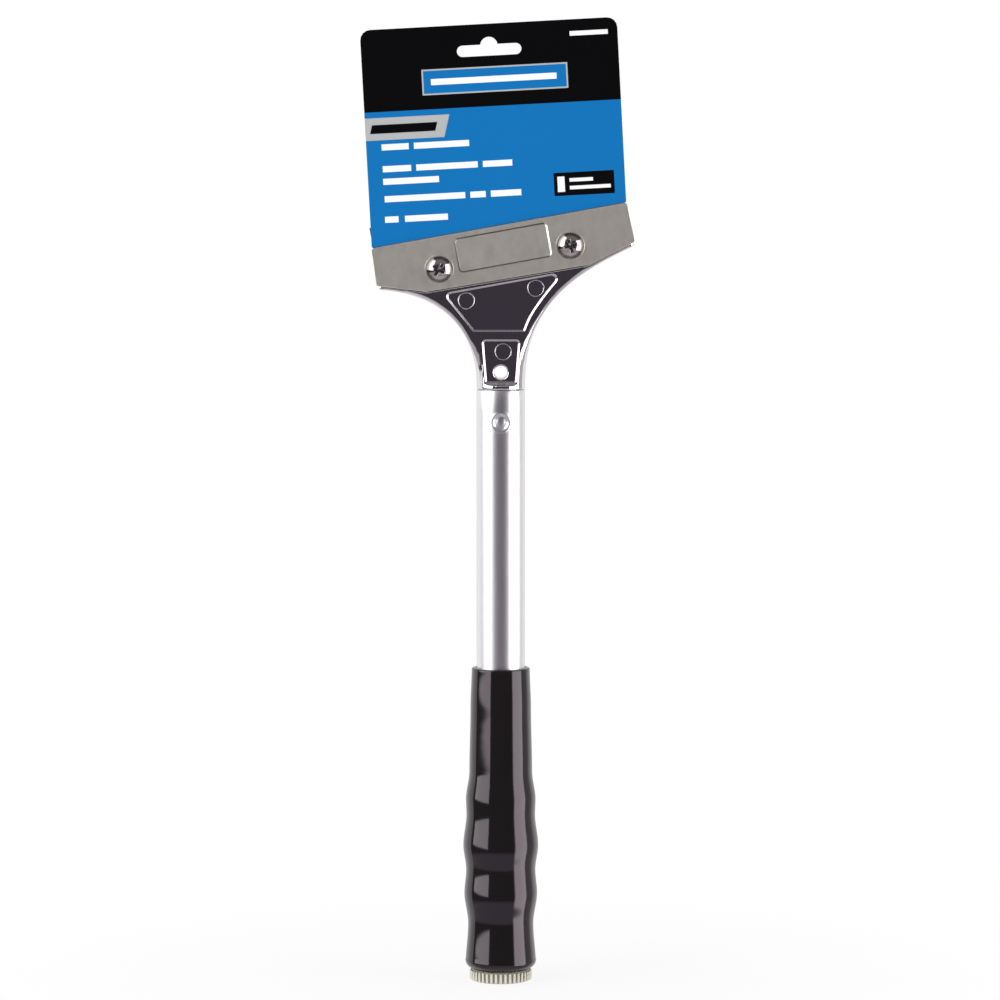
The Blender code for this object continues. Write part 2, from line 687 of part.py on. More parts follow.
def handle_tube():
    """The aluminium tube, crimped into the spigot with one punched dent."""
    aluminium = make_material("aluminium_tube", (0.80, 0.81, 0.82), 0.28, 1.0)
    top = TUBE_FOOT + TUBE_LENGTH
    wall = [(TUBE_RADIUS, top), (TUBE_RADIUS, TUBE_FOOT), (BORE_RADIUS, TUBE_FOOT), (BORE_RADIUS, top)]
    tube = add_object("handle_tube", turned(wall, TUBE_STEPS), aluminium)
    bump = crimp_ball("join_crimp", CRIMP_SPHERE + TUBE_WALL)
    trim = add_object("trim_crimp", cylinder(TUBE_RADIUS - TUBE_WALL / 2, CRIMP_HEIGHT - CRIMP_DIAMETER,
                                             CRIMP_HEIGHT + CRIMP_DIAMETER, TUBE_STEPS))
    shape_piece(bump, trim, "INTERSECT")
    shape_piece(tube, bump, "UNION")
    shape_piece(tube, crimp_ball("cut_crimp", CRIMP_SPHERE))
    return settle(tube)


def grip_profile():
    """The grip's outer side from its lip down to its foot: eased between the hand-chosen swells."""
    foot = TUBE_FOOT
    side = []
    for (start, wide), (end, narrow) in zip(GRIP_CONTROL_SHARES, GRIP_CONTROL_SHARES[1:]):
        for row in range(GRIP_SWELL_ROWS):
            share = row / GRIP_SWELL_ROWS
            wall = blend(wide, narrow, smooth_share(share)) * GRIP_WALL
            side.append((TUBE_RADIUS + wall, foot + GRIP_LENGTH * blend(start, end, share)))
    lip = side[0]
    rounded = [(lip[0] - GRIP_LIP_ROUND, lip[1]), (lip[0], lip[1] - GRIP_LIP_ROUND)]
    last = TUBE_RADIUS + GRIP_CONTROL_SHARES[-1][1] * GRIP_WALL
    lower = [point for point in side[1:] if point[1] > foot + GRIP_FOOT_ROUND]
    for step in range(CORNER_STEPS + 1):
        angle = math.pi / 2 * step / CORNER_STEPS
        lower.append((last - GRIP_FOOT_ROUND * (1 - math.cos(angle)),
                      foot + GRIP_FOOT_ROUND * (1 - math.sin(angle))))
    return rounded + lower


def grip_sleeve():
    """The dipped black grip with three finger swells."""
    vinyl = make_material("black_vinyl", (0.012, 0.011, 0.012), 0.12, 0.0)
    inner = TUBE_RADIUS + TOUCH_GAP
    profile = grip_profile()
    profile += [(inner, TUBE_FOOT), (inner, TUBE_FOOT + GRIP_LENGTH)]
    return add_object("grip_sleeve", turned(profile, GRIP_STEPS), vinyl)


def cap_ring(radius, height, ribs):
    """One level of the cap's ribbed rim, with four points for each rib."""
    ring = []
    count = CAP_RIB_COUNT * 4
    for step in range(count):
        low = ribs and step % 4 in (0, 1)
        reach = radius - CAP_RIB_DEPTH if low else radius
        angle = math.tau * (step + 0.5) / count
        ring.append((reach * math.cos(angle), reach * math.sin(angle), height))
    return ring


def end_cap():
    """The ribbed end cap with its hollow plug."""
    ivory = make_material("ivory_plastic", (0.74, 0.70, 0.58), 0.45, 0.0)
    rim = CAP_RADIUS
    flat = rim - CAP_RIB_DEPTH - CAP_CHAMFER
    top = CAP_RIM_HEIGHT
    rings = [cap_ring(flat, 0, False), cap_ring(rim, CAP_CHAMFER, True),
             cap_ring(rim, top - CAP_CHAMFER, True), cap_ring(flat, top, False)]
    cap = add_object("end_cap", loft(rings), ivory)
    inner = PLUG_RADIUS - CAP_PLUG_WALL
    high = top + CAP_PLUG_HEIGHT
    root = top / 2
    plug = [(PLUG_RADIUS, root), (PLUG_RADIUS, high - CAP_PLUG_LEAD), (PLUG_RADIUS - CAP_PLUG_LEAD, high),
            (inner, high), (inner, root)]
    shape_piece(cap, add_object("join_plug", turned(plug, TUBE_STEPS)), "UNION")
    return settle(cap)


def blade_shape():
    """One blade: flat stock with a ground edge along +Z."""
    half = BLADE_THICKNESS / 2
    land = BLADE_EDGE_LAND / 2
    shoulder = BLADE_WIDTH - BLADE_GRIND
    section = [(-half, 0), (half, 0), (half, shoulder), (land, BLADE_WIDTH), (-land, BLADE_WIDTH),
               (-half, shoulder)]
    rings = []
    for x in (-BLADE_LENGTH / 2, BLADE_LENGTH / 2):
        rings.append([(x, y, z) for y, z in section])
    return loft(rings)


def blade_steel():
    """The blades' steel."""
    return make_material("blade_steel", (0.52, 0.53, 0.54), 0.25, 1.0)


def scraper_blade(frame, steel):
    """The fitted blade, under the clamp plate and out past its edge."""
    blade = add_object("scraper_blade", blade_shape(), steel, frame)
    blade.location = (0, -BLADE_FRONT + BLADE_THICKNESS / 2, BLADE_OUT - BLADE_WIDTH)
    return blade


def spare_blades(steel):
    """The spare blades, standing on the end cap's plug inside the tube."""
    foot = CAP_RIM_HEIGHT + CAP_PLUG_HEIGHT + TOUCH_GAP
    pitch = BLADE_THICKNESS + TOUCH_GAP
    for index in range(SPARE_BLADE_COUNT):
        spare = add_object("spare_blade_%d" % (index + 1), blade_shape(), steel)
        place = index - (SPARE_BLADE_COUNT - 1) / 2
        spare.location = (-BLADE_WIDTH / 2, place * pitch, foot + BLADE_LENGTH / 2)
        spare.rotation_euler = (0, math.radians(90), 0)


def badge_outline(inset):
    """The raised badge pad, in the head frame."""
    half = BADGE_LENGTH / 2
    top = -BADGE_DROP
    low = top - BADGE_HEIGHT
    corners = [(-half, top), (half, top), (half, low), (-half, low)]
    return rounded_outline(inset_outline(corners, inset), (BADGE_CORNER - inset,) * 4)


def clamp_plate(frame):
    """The stamped clamp plate with its plain raised pad and two screw holes."""
    nickel = make_material("satin_plate", (0.36, 0.35, 0.32), 0.34, 1.0)
    flat = plate_outline(0)
    eased = plate_outline(-PLATE_EDGE_ROUND)
    sheet = stepped_prism((flat, PLATE_BACK), (flat, PLATE_FRONT - PLATE_EDGE_ROUND), (eased, PLATE_FRONT))
    plate = add_object("clamp_plate", sheet, nickel, frame)
    foot = badge_outline(-BADGE_SLOPE * TOUCH_GAP / BADGE_PROUD)
    crown = badge_outline(BADGE_SLOPE)
    pad = stepped_prism((foot, PLATE_FRONT - TOUCH_GAP), (crown, PLATE_FRONT + BADGE_PROUD))
    shape_piece(plate, add_object("join_badge", pad, parent=frame), "UNION")
    for side, name in ((-1, "left"), (1, "right")):
        hole = front_hole_cutter("cut_plate_hole_" + name, SCREW_DIAMETER / 2 + TOUCH_GAP,
                                 0, 2 * TUBE_RADIUS, side * SCREW_SPREAD, -SCREW_DROP, frame)
        shape_piece(plate, hole)
    return settle(plate)


def cross_ring(reach, wing, height):
    """The cross-shaped outline of the driver recess at one height."""
    quarter = [(wing, wing), (wing, reach), (-wing, reach)]
    ring = []
    for turn in range(4):
        spin = Matrix.Rotation(math.radians(90) * turn, 2)
        for point in quarter:
            x, y = spin @ Vector(point)
            ring.append((x, y, height))
    return ring


def clamp_screw(name, side, turn, chrome, frame):
    """A pan-head screw with a cross recess; its axis points out of the plate."""
    edge = SCREW_HEAD_DIAMETER / 2
    seat = PLATE_FRONT + TOUCH_GAP
    top = seat + SCREW_HEAD_HEIGHT
    profile = [(0, seat - SCREW_LENGTH), (SCREW_DIAMETER / 2 - TOUCH_GAP, seat - SCREW_LENGTH),
               (SCREW_DIAMETER / 2, seat - SCREW_LENGTH + TOUCH_GAP),
               (SCREW_DIAMETER / 2, seat), (edge, seat)]
    rise = SCREW_HEAD_HEIGHT - SCREW_HEAD_EDGE
    for row in range(SCREW_DOME_ROWS + 1):
        angle = math.pi / 2 * row / SCREW_DOME_ROWS
        profile.append((edge * math.cos(angle), seat + SCREW_HEAD_EDGE + rise * math.sin(angle)))
    screw = add_object(name, turned(profile, SCREW_STEPS), chrome, frame)
    lay_to_front(screw, side * SCREW_SPREAD, -SCREW_DROP, turn)
    floor = top - CROSS_DEPTH
    reach = 1 + OVERRUN / CROSS_DEPTH
    narrow = CROSS_REACH * CROSS_FLOOR_SHARE
    rings = [cross_ring(narrow, CROSS_WING, floor),
             cross_ring(blend(narrow, CROSS_REACH, reach), CROSS_WING, top + OVERRUN)]
    tool = add_object("cut_cross_" + name, loft(rings), parent=frame)
    lay_to_front(tool, side * SCREW_SPREAD, -SCREW_DROP, turn)
    shape_piece(screw, tool)
    return settle(screw)


def card_point(across, up):
    """A point of the card, which hangs less skewed than the head, in the head frame."""
    turn = CARD_TILT - HEAD_SKEW
    return (across * math.cos(turn) - up * math.sin(turn), across * math.sin(turn) + up * math.cos(turn))


def card_outline():
    """The card's outline: two round corners on top, the foot cut along the clamp plate."""
    turn = CARD_TILT - HEAD_SKEW
    half = CARD_WIDTH / 2
    right_foot = (TOUCH_GAP - half * math.sin(turn)) / math.cos(turn)
    left_foot = (TOUCH_GAP + half * math.sin(turn)) / math.cos(turn)
    corners = [card_point(-half, CARD_RISE), card_point(half, CARD_RISE), card_point(half, right_foot),
               card_point(-half, left_foot)]
    return rounded_outline(corners, (CARD_CORNER, CARD_CORNER, 0, 0))


def side_prism(section, half_length):
    """A section of (height, front distance) points, drawn along the blade."""
    rings = []
    for x in (-half_length, half_length):
        rings.append([(x, -front, up) for up, front in section])
    return loft(rings)


def card_slot_outline():
    """The long slot with round ends, in the card's own tilt."""
    half = SLOT_LENGTH / 2 - SLOT_HEIGHT / 2
    outline = []
    for centre, start in ((-half, math.pi / 2), (half, -math.pi / 2)):
        for step in range(2 * CORNER_STEPS + 1):
            angle = start + math.pi * step / (2 * CORNER_STEPS)
            across = SLOT_SHIFT + centre + SLOT_HEIGHT / 2 * math.cos(angle)
            outline.append(card_point(across, SLOT_RISE + SLOT_HEIGHT / 2 * math.sin(angle)))
    return outline


def blade_card(frame):
    """The printed card: two plies glued together above the blade, apart where they cover it."""
    board = make_material("printed_board", (0.0, 0.18, 0.50), 0.30, 0.0)
    card = add_object("blade_card", prism(card_outline(), CARD_BACK, CARD_FRONT), board, frame)
    start = BLADE_OUT + CARD_RAMP_START
    end = start + CARD_RAMP
    past = CARD_RISE + CARD_WIDTH
    thin = CARD_MIDDLE - CARD_PLY
    relief = [(start, CARD_BACK - OVERRUN), (past, CARD_BACK - OVERRUN), (past, thin), (end, thin),
              (start, CARD_BACK)]
    shape_piece(card, add_object("cut_card_back", side_prism(relief, CARD_WIDTH), parent=frame))
    pocket = [(-OVERRUN, BLADE_SEAT), (start, BLADE_SEAT), (end, CARD_MIDDLE), (-OVERRUN, CARD_MIDDLE)]
    shape_piece(card, add_object("cut_card_pocket", side_prism(pocket, CARD_WIDTH), parent=frame))
    slot = prism(card_slot_outline(), CARD_BACK - OVERRUN, CARD_FRONT + OVERRUN)
    shape_piece(card, add_object("cut_card_slot", slot, parent=frame))
    x, z = card_point(SLOT_SHIFT, SLOT_RISE + SLOT_BUMP_RISE)
    bump = front_hole_cutter("cut_card_bump", SLOT_BUMP_RADIUS, CARD_BACK - OVERRUN, CARD_FRONT + OVERRUN,
                             x, z, frame)
    shape_piece(card, bump)
    return settle(card)


def build():
    """Make every piece of the scraper."""
    clear_scene()
    frame = head_frame()
    head_casting(frame)
    handle_tube()
    grip_sleeve()
    end_cap()
    steel = blade_steel()
    spare_blades(steel)
    scraper_blade(frame, steel)
    clamp_plate(frame)
    chrome = make_material("chrome_screw", (0.62, 0.61, 0.62), 0.10, 1.0)
    clamp_screw("clamp_screw_left", -1, LEFT_CROSS_TURN, chrome, frame)
    clamp_screw("clamp_screw_right", 1, RIGHT_CROSS_TURN, chrome, frame)
    blade_card(frame)


build()
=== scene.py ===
# %% [markdown]
# # Dressing a floor scraper
#
# The CAD model of this hand tool is already built. It holds the real sizes and
# the joints. This lesson puts the looks on it: the chrome of the casting, the satin clamp plate,
# the polished tube, the glossy grip, the moulded end cap and the printed card. The tool stands
# upright on its end cap, its blade is up, and the face with the screws looks towards -Y. All
# lengths are metres, unless a name or comment says otherwise.

# %% Load the imported frame
import json
import math
import bmesh
import bpy
from mathutils import Matrix, Vector

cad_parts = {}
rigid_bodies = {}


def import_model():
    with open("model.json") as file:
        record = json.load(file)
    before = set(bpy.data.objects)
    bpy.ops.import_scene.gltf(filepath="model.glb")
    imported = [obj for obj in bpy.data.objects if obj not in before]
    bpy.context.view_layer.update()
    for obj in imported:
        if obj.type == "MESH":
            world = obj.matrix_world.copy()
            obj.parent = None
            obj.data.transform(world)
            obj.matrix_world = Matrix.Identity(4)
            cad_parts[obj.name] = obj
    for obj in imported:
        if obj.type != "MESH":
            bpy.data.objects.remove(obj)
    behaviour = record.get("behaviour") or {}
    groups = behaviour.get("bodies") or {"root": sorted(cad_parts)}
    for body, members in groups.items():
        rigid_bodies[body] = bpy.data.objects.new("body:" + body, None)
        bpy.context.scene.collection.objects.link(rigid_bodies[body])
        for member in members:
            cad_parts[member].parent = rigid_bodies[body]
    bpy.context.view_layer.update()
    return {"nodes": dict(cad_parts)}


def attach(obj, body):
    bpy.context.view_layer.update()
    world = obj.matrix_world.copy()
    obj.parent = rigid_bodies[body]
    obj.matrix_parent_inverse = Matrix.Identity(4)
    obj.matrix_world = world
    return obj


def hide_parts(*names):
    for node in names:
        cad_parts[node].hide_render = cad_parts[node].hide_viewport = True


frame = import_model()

print("pieces in the frame:", sorted(frame["nodes"]))

# %% [markdown]
# ## Small helpers for meshes
#
# Most pieces here are either lofts, a stack of rings with the same number of points, or turned
# parts, which are lofts whose rings go round an axis. So one function skins a list of rings and
# another turns bmesh data into an object that sits at the origin, unturned and unscaled.


# %% Skin rings and make objects
def skin(rings, closed_loop=False):
    """Faces between rings of equal count; the ends are filled, or the last ring meets the first."""
    shape = bmesh.new()
    rows = [[shape.verts.new(point) for point in ring] for ring in rings]
    if closed_loop:
        rows.append(rows[0])
    count = len(rows[0])
    for low, high in zip(rows, rows[1:]):
        for index in range(count):
            after = (index + 1) % count
            shape.faces.new((low[index], low[after], high[after], high[index]))
    if not closed_loop:
        shape.faces.new(rows[0])
        shape.faces.new(reversed(rows[-1]))
    return shape


def make_object(name, shape, sharp_degrees=40):
    """A named object from bmesh data, with outward faces and soft shading between sharp edges."""
    bmesh.ops.remove_doubles(shape, verts=shape.verts, dist=1e-7)
    bmesh.ops.recalc_face_normals(shape, faces=shape.faces)
    mesh = bpy.data.meshes.new(name)
    shape.to_mesh(mesh)
    shape.free()
    mesh.shade_smooth()
    mesh.set_sharp_from_angle(angle=math.radians(sharp_degrees))
    made = bpy.data.objects.new(name, mesh)
    bpy.context.scene.collection.objects.link(made)
    return made


def turn(profile, steps):
    """Turn a closed profile of (radius, height) points round the Z axis."""
    rings = []
    for step in range(steps):
        angle = math.tau * step / steps
        rings.append([(r * math.cos(angle), r * math.sin(angle), z) for r, z in profile])
    return skin(rings, closed_loop=True)


# %% [markdown]
# Modifiers such as Boolean, Bevel and Remesh are handy while a piece is being made. When it is
# finished its evaluated mesh is kept and the modifiers go, so that the piece is a plain mesh.


# %% Make modifiers final
def finish_modifiers(made, sharp_degrees=40):
    """Replace a piece's mesh by its evaluated one and drop its modifiers."""
    depsgraph = bpy.context.evaluated_depsgraph_get()
    mesh = bpy.data.meshes.new_from_object(made.evaluated_get(depsgraph))
    made.modifiers.clear()
    made.data = mesh
    mesh.shade_smooth()
    mesh.set_sharp_from_angle(angle=math.radians(sharp_degrees))


def cut_away(made, tool):
    """Cut a tool out of a piece for good, and delete the tool."""
    cut = made.modifiers.new("cut", "BOOLEAN")
    cut.operation = "DIFFERENCE"
    cut.solver = "EXACT"
    cut.object = tool
    finish_modifiers(made)
    bpy.data.objects.remove(tool, do_unlink=True)


def triangles(made):
    """How many triangles a piece has."""
    return sum(len(face.vertices) - 2 for face in made.data.polygons)


# %% [markdown]
# ## Materials as arithmetic
#
# A procedural material is a small calculation: noise times a strength plus a base value. Typed as
# node after node it is hard to read, so a wrapper round a socket lets Python's own operators add
# the Math nodes. Everything else goes through one `node` method.


# %% A socket that can do sums
class Wire:
    """One output socket of a finish; +, -, *, / and the comparisons add Math nodes."""

    def __init__(self, finish, socket):
        self.finish = finish
        self.socket = socket

    def maths(self, operation, first, second=0.0):
        return self.finish.node("ShaderNodeMath", {"operation": operation}, {0: first, 1: second})

    def __add__(self, other):
        return self.maths("ADD", self, other)

    def __sub__(self, other):
        return self.maths("SUBTRACT", self, other)

    def __mul__(self, other):
        return self.maths("MULTIPLY", self, other)

    def __truediv__(self, other):
        return self.maths("DIVIDE", self, other)

    def __rsub__(self, other):
        return self.maths("SUBTRACT", other, self)

    def __lt__(self, other):
        return self.maths("LESS_THAN", self, other)

    def __gt__(self, other):
        return self.maths("GREATER_THAN", self, other)

    def __abs__(self):
        return self.maths("ABSOLUTE", self)

    __radd__ = __add__
    __rmul__ = __mul__


# %% [markdown]
# A finish is a material with one Principled shader. What is the same all over a piece is typed
# into the shader's own sockets, and only what varies over the surface is linked.


# %% A finish and the patterns it is made of
class Finish:
    """A material: constants go on the shader's own sockets, and feed() links what varies."""

    def __init__(self, name, **constants):
        self.material = bpy.data.materials.new(name)
        self.material.use_nodes = True
        self.tree = self.material.node_tree
        self.shader = self.tree.nodes["Principled BSDF"]
        for words, value in constants.items():
            title = words.replace("_", " ").title().replace("Ior", "IOR")
            self.shader.inputs[title].default_value = value

    def node(self, kind, settings=None, sockets=None, output=0):
        """Add a node: settings first, then sockets; returns one output as a Wire, or the node."""
        made = self.tree.nodes.new(kind)
        for words, value in (settings or {}).items():
            setattr(made, words, value)
        for key, value in (sockets or {}).items():
            self.fill(made.inputs[key], value)
        return made if output is None else Wire(self, made.outputs[output])

    def fill(self, socket, value):
        """Link a Wire to a socket, or set a plain value on it."""
        if isinstance(value, Wire):
            self.tree.links.new(value.socket, socket)
        else:
            socket.default_value = value

    def feed(self, name, value):
        """Give one of the shader's varying inputs its Wire."""
        self.fill(self.shader.inputs[name], value)

    def place(self, scale=(1.0, 1.0, 1.0), turn_by=(0.0, 0.0, 0.0), move=(0.0, 0.0, 0.0),
              kind="POINT"):
        """Object coordinates, stretched, turned and moved, or the frame itself with TEXTURE."""
        spot = self.node("ShaderNodeTexCoord", output="Object")
        return self.node("ShaderNodeMapping", {"vector_type": kind},
                         {"Vector": spot, "Scale": scale, "Rotation": turn_by, "Location": move})

    def tilted(self, middle, tilt):
        """Object coordinates in a frame that sits at a place and leans in the tool's own plane."""
        return self.place(turn_by=(0.0, -tilt, 0.0), move=tuple(middle), kind="TEXTURE")

    def axis(self, vector, letter):
        """One number of a vector."""
        return self.node("ShaderNodeSeparateXYZ", {}, {0: vector}, output=letter)

    def length(self, vector):
        """How long a vector is."""
        return self.node("ShaderNodeVectorMath", {"operation": "LENGTH"}, {0: vector},
                         output="Value")

    def noise(self, spot, scale, detail, roughness=0.5):
        """Soft noise between 0 and 1; scale is in bumps per metre."""
        sockets = {"Vector": spot, "Scale": scale, "Detail": detail, "Roughness": roughness}
        return self.node("ShaderNodeTexNoise", {}, sockets)

    def mix(self, share, first, second):
        """Two colours, mixed by a share."""
        sockets = {0: share, 6: first, 7: second}
        return self.node("ShaderNodeMix", {"data_type": "RGBA"}, sockets, output=2)

    def bump(self, height, distance):
        """Bend the light as if the surface rose by height times distance, in metres."""
        bent = self.node("ShaderNodeBump", {}, {"Height": height, "Distance": distance})
        self.feed("Normal", bent)


# %% [markdown]
# ## Camera and studio
#
# The picture was taken from 1.8 m with a long lens, level with the head of the tool and pitched
# down by 4.5 degrees.

# %% Camera
CAMERA_SIDE = -0.0003
CAMERA_DISTANCE = 1.8
CAMERA_HEIGHT = 0.3325
CAMERA_PITCH = math.radians(4.5)
eye = bpy.data.cameras.new("camera")
eye.sensor_width = 36.0
eye.lens = 165.1
camera = bpy.data.objects.new("camera", eye)
camera.location = (CAMERA_SIDE, -CAMERA_DISTANCE, CAMERA_HEIGHT)
camera.rotation_euler = (math.radians(90) - CAMERA_PITCH, 0.0, 0.0)
bpy.context.scene.collection.objects.link(camera)
bpy.context.scene.camera = camera
bpy.context.scene.view_settings.view_transform = "Standard"
view_angle = 2 * math.atan(eye.sensor_width / 2 / eye.lens)
print("field of view in degrees:", round(math.degrees(view_angle), 2))

# %% [markdown]
# Polished metal shows its surroundings, so the studio matters as much as the metal: a soft box on
# each side, a white backdrop behind the tool, a grey table, and a dark, faintly purple room behind
# the camera, which gives the tube its dark stripe and the casting its dark face. The studio lives
# in the world shader, by direction, so that nothing gets in the way of a camera on another side.
# Each light is a window in two angles, in degrees: how far round from the front (left is below
# zero), and how high. Matt surfaces get one even light instead, so that a printed or moulded colour
# comes out as it was written, and the camera sees plain white.


# %% Limits with a soft edge
def ramp_up(finish, value, start, end):
    """Ease from 0 to 1 while a value goes from start to end."""
    return finish.node("ShaderNodeMapRange", {"interpolation_type": "SMOOTHSTEP"},
                       {"Value": value, "From Min": start, "From Max": end})


def within(finish, value, low, high, soft):
    """1 between two limits, easing to 0 over a soft width at both of them."""
    return (ramp_up(finish, value, low - soft, low + soft)
            * ramp_up(finish, value, high + soft, high - soft))


# %% Colours and windows of the studio
ROOM = (0.057, 0.046, 0.064, 1.0)
TABLE_EDGE = (0.56, 0.51, 0.58, 1.0)
TABLE = (0.74, 0.72, 0.73, 1.0)
CEILING = (0.30, 0.28, 0.30, 1.0)
LEFT_BOX = (3.6, 3.6, 3.6, 1.0)
RIGHT_BOX = (4.6, 4.55, 4.5, 1.0)
DIM_SIDE = (0.58, 0.54, 0.58, 1.0)
BACKDROP = (1.1, 1.1, 1.1, 1.0)
FAR_BACKDROP = (0.80, 0.79, 0.79, 1.0)
PLAIN = (0.66, 0.66, 0.66, 1.0)
PURE_WHITE = (1.0, 1.0, 1.0, 1.0)
LEFT_BOX_ROUND, LEFT_BOX_RISE = (-94.5, -40.0), (-11.5, 52.0)
RIGHT_BOX_ROUND, RIGHT_BOX_RISE = (46.0, 89.0), (-27.0, 30.0)
LEFT_BOX_LEAN = 0.09
print("soft boxes, degrees round:", LEFT_BOX_ROUND, "and", RIGHT_BOX_ROUND)


# %% World: a studio that only reflections and light see
class Studio(Finish):
    """The world's nodes, written the same way as a finish."""

    def __init__(self, name):
        self.world = bpy.data.worlds.new(name)
        self.world.use_nodes = True
        self.tree = self.world.node_tree
        self.tree.nodes.clear()


studio = Studio("studio")
bpy.context.scene.world = studio.world
direction = studio.node("ShaderNodeTexCoord", output="Generated")
sideways = studio.axis(direction, "X")
forward = 0.0 - studio.axis(direction, "Y")
upward = studio.axis(direction, "Z")
round_by = sideways.maths("ARCTAN2", sideways, forward) * math.degrees(1)
rise = upward.maths("ARCSINE", upward) * math.degrees(1)
left_box = (within(studio, round_by, *LEFT_BOX_ROUND, 1.0)
            * within(studio, rise + LEFT_BOX_LEAN * round_by, *LEFT_BOX_RISE, 1.5))
right_box = (within(studio, round_by, *RIGHT_BOX_ROUND, 3.0)
             * within(studio, rise, *RIGHT_BOX_RISE, 2.5))
light = ROOM
for share, colour in (
        (ramp_up(studio, rise, -14.0, -22.0), TABLE_EDGE),
        (ramp_up(studio, rise, -40.0, -56.0), TABLE),
        (ramp_up(studio, rise, 28.0, 36.0), CEILING),
        (left_box, LEFT_BOX),
        (right_box, RIGHT_BOX),
        (ramp_up(studio, round_by, 88.0, 91.0), DIM_SIDE),
        (ramp_up(studio, round_by, 118.0, 124.0), BACKDROP),
        (ramp_up(studio, round_by, -103.0, -106.0), BACKDROP),
        (ramp_up(studio, abs(round_by), 146.0, 158.0), FAR_BACKDROP),
        (studio.node("ShaderNodeLightPath", output="Is Diffuse Ray"), PLAIN),
        (studio.node("ShaderNodeLightPath", output="Is Camera Ray"), PURE_WHITE)):
    light = studio.mix(share, light, colour)
shine = studio.node("ShaderNodeBackground", {}, {"Color": light, "Strength": 1.0})
studio.node("ShaderNodeOutputWorld", {}, {"Surface": shine}, output=None)
print("nodes in the world:", len(studio.tree.nodes))

# %% [markdown]
# The floor is white to the camera, yet it keeps part of the soft shadow that the tool casts: a
# share of plain diffuse paint is mixed with an emission that is exactly white, and the paint fades
# out round the tool, so that no horizon shows. Two area lamps give the shadow a direction. They are
# hidden from reflections, which show the studio alone.

# %% Floor and lamps
FLOOR_HALF = 6.0
FLOOR_GAP = 0.0004
GLOW_SHARE = 0.84
FADE_START = 0.05
FADE_END = 0.25
LAMP_TARGET = (0.0, 0.0, 0.19)
LAMP_SIZE = 0.7
sheet = bmesh.new()
bmesh.ops.create_grid(sheet, x_segments=1, y_segments=1, size=FLOOR_HALF)
floor = make_object("floor", sheet)
floor.location = (0.0, 0.0, -FLOOR_GAP)
paper = Finish("floor_paper", base_color=(0.9, 0.9, 0.9, 1.0), roughness=0.9)
glow = paper.node("ShaderNodeEmission", {}, {"Color": PURE_WHITE, "Strength": 1.0})
away = paper.length(paper.place())
share = GLOW_SHARE + (1 - GLOW_SHARE) * ramp_up(paper, away, FADE_START, FADE_END)
diffuse = Wire(paper, paper.shader.outputs[0])
white = paper.node("ShaderNodeMixShader", {}, {0: share, 1: diffuse, 2: glow})
paper.fill(paper.tree.nodes["Material Output"].inputs["Surface"], white)
floor.data.materials.append(paper.material)
floor.visible_glossy = False


def soft_lamp(name, place, power):
    """A square area lamp that looks at the tool and doesn't show in reflections."""
    lamp = bpy.data.lights.new(name, "AREA")
    lamp.size = LAMP_SIZE
    lamp.energy = power
    holder = bpy.data.objects.new(name, lamp)
    holder.location = place
    away_from_tool = Vector(place) - Vector(LAMP_TARGET)
    holder.rotation_euler = away_from_tool.to_track_quat("Z", "Y").to_euler()
    holder.visible_glossy = False
    bpy.context.scene.collection.objects.link(holder)


soft_lamp("left_box", (-0.9, -0.8, 0.9), 3.2)
soft_lamp("right_box", (1.0, -0.6, 0.8), 0.8)
print("floor", 2 * FLOOR_HALF, "m wide, two soft lamps")

# %% [markdown]
# ## Outlines
#
# The flat pieces and the recesses are prisms seen from the front, so they start as corners in
# (x, z). One helper rounds corners, one moves sides inwards, each by its own distance, and one lays
# outlines in front of each other for skin().


# %% Outlines seen from the front
def round_corners(corners, radii, steps=8):
    """An outline of (x, z) points with each corner rounded by its own radius."""
    outline = []
    for index, (corner, radius) in enumerate(zip(corners, radii)):
        here = Vector(corner)
        before = (Vector(corners[index - 1]) - here).normalized()
        after = (Vector(corners[(index + 1) % len(corners)]) - here).normalized()
        half = math.acos(before.dot(after)) / 2
        middle = here + (before + after).normalized() * (radius / math.sin(half))
        first = (here + before * (radius / math.tan(half)) - middle).normalized()
        last = (here + after * (radius / math.tan(half)) - middle).normalized()
        outline += [middle + first.slerp(last, step / steps) * radius for step in range(steps + 1)]
    return outline


def inset_corners(corners, distances):
    """The corners moved inwards; each side, from a corner to the next, has its own distance."""
    moved = []
    for index, corner in enumerate(corners):
        here = Vector(corner)
        into = (here - Vector(corners[index - 1])).normalized()
        away = (Vector(corners[(index + 1) % len(corners)]) - here).normalized()
        first = Vector((into.y, -into.x))
        second = Vector((away.y, -away.x))
        shared = first.dot(second)
        before, after = distances[index - 1], distances[index]
        shift = first * (before - shared * after) + second * (after - shared * before)
        moved.append(here + shift / (1 - shared * shared))
    return moved


def front_rings(levels):
    """Rings for skin(): each level is an outline and how far in front of the axis it lies."""
    return [[(point.x, -front, point.y) for point in outline] for outline, front in levels]


# %% [markdown]
# ## Head casting
#
# The real head is a zinc die casting under bright chrome. Molten metal and plating leave no
# knife-sharp edge anywhere, so every panel wall, rim and rib ends in a small radius, and those
# radii are what catches the light. Bevelling the CAD edges one by one would be fragile where
# curves meet. Rebuilding the whole skin from even cells and then relaxing it rounds all edges
# alike, as plating does. The recesses in the face and the hang hole are filled first.

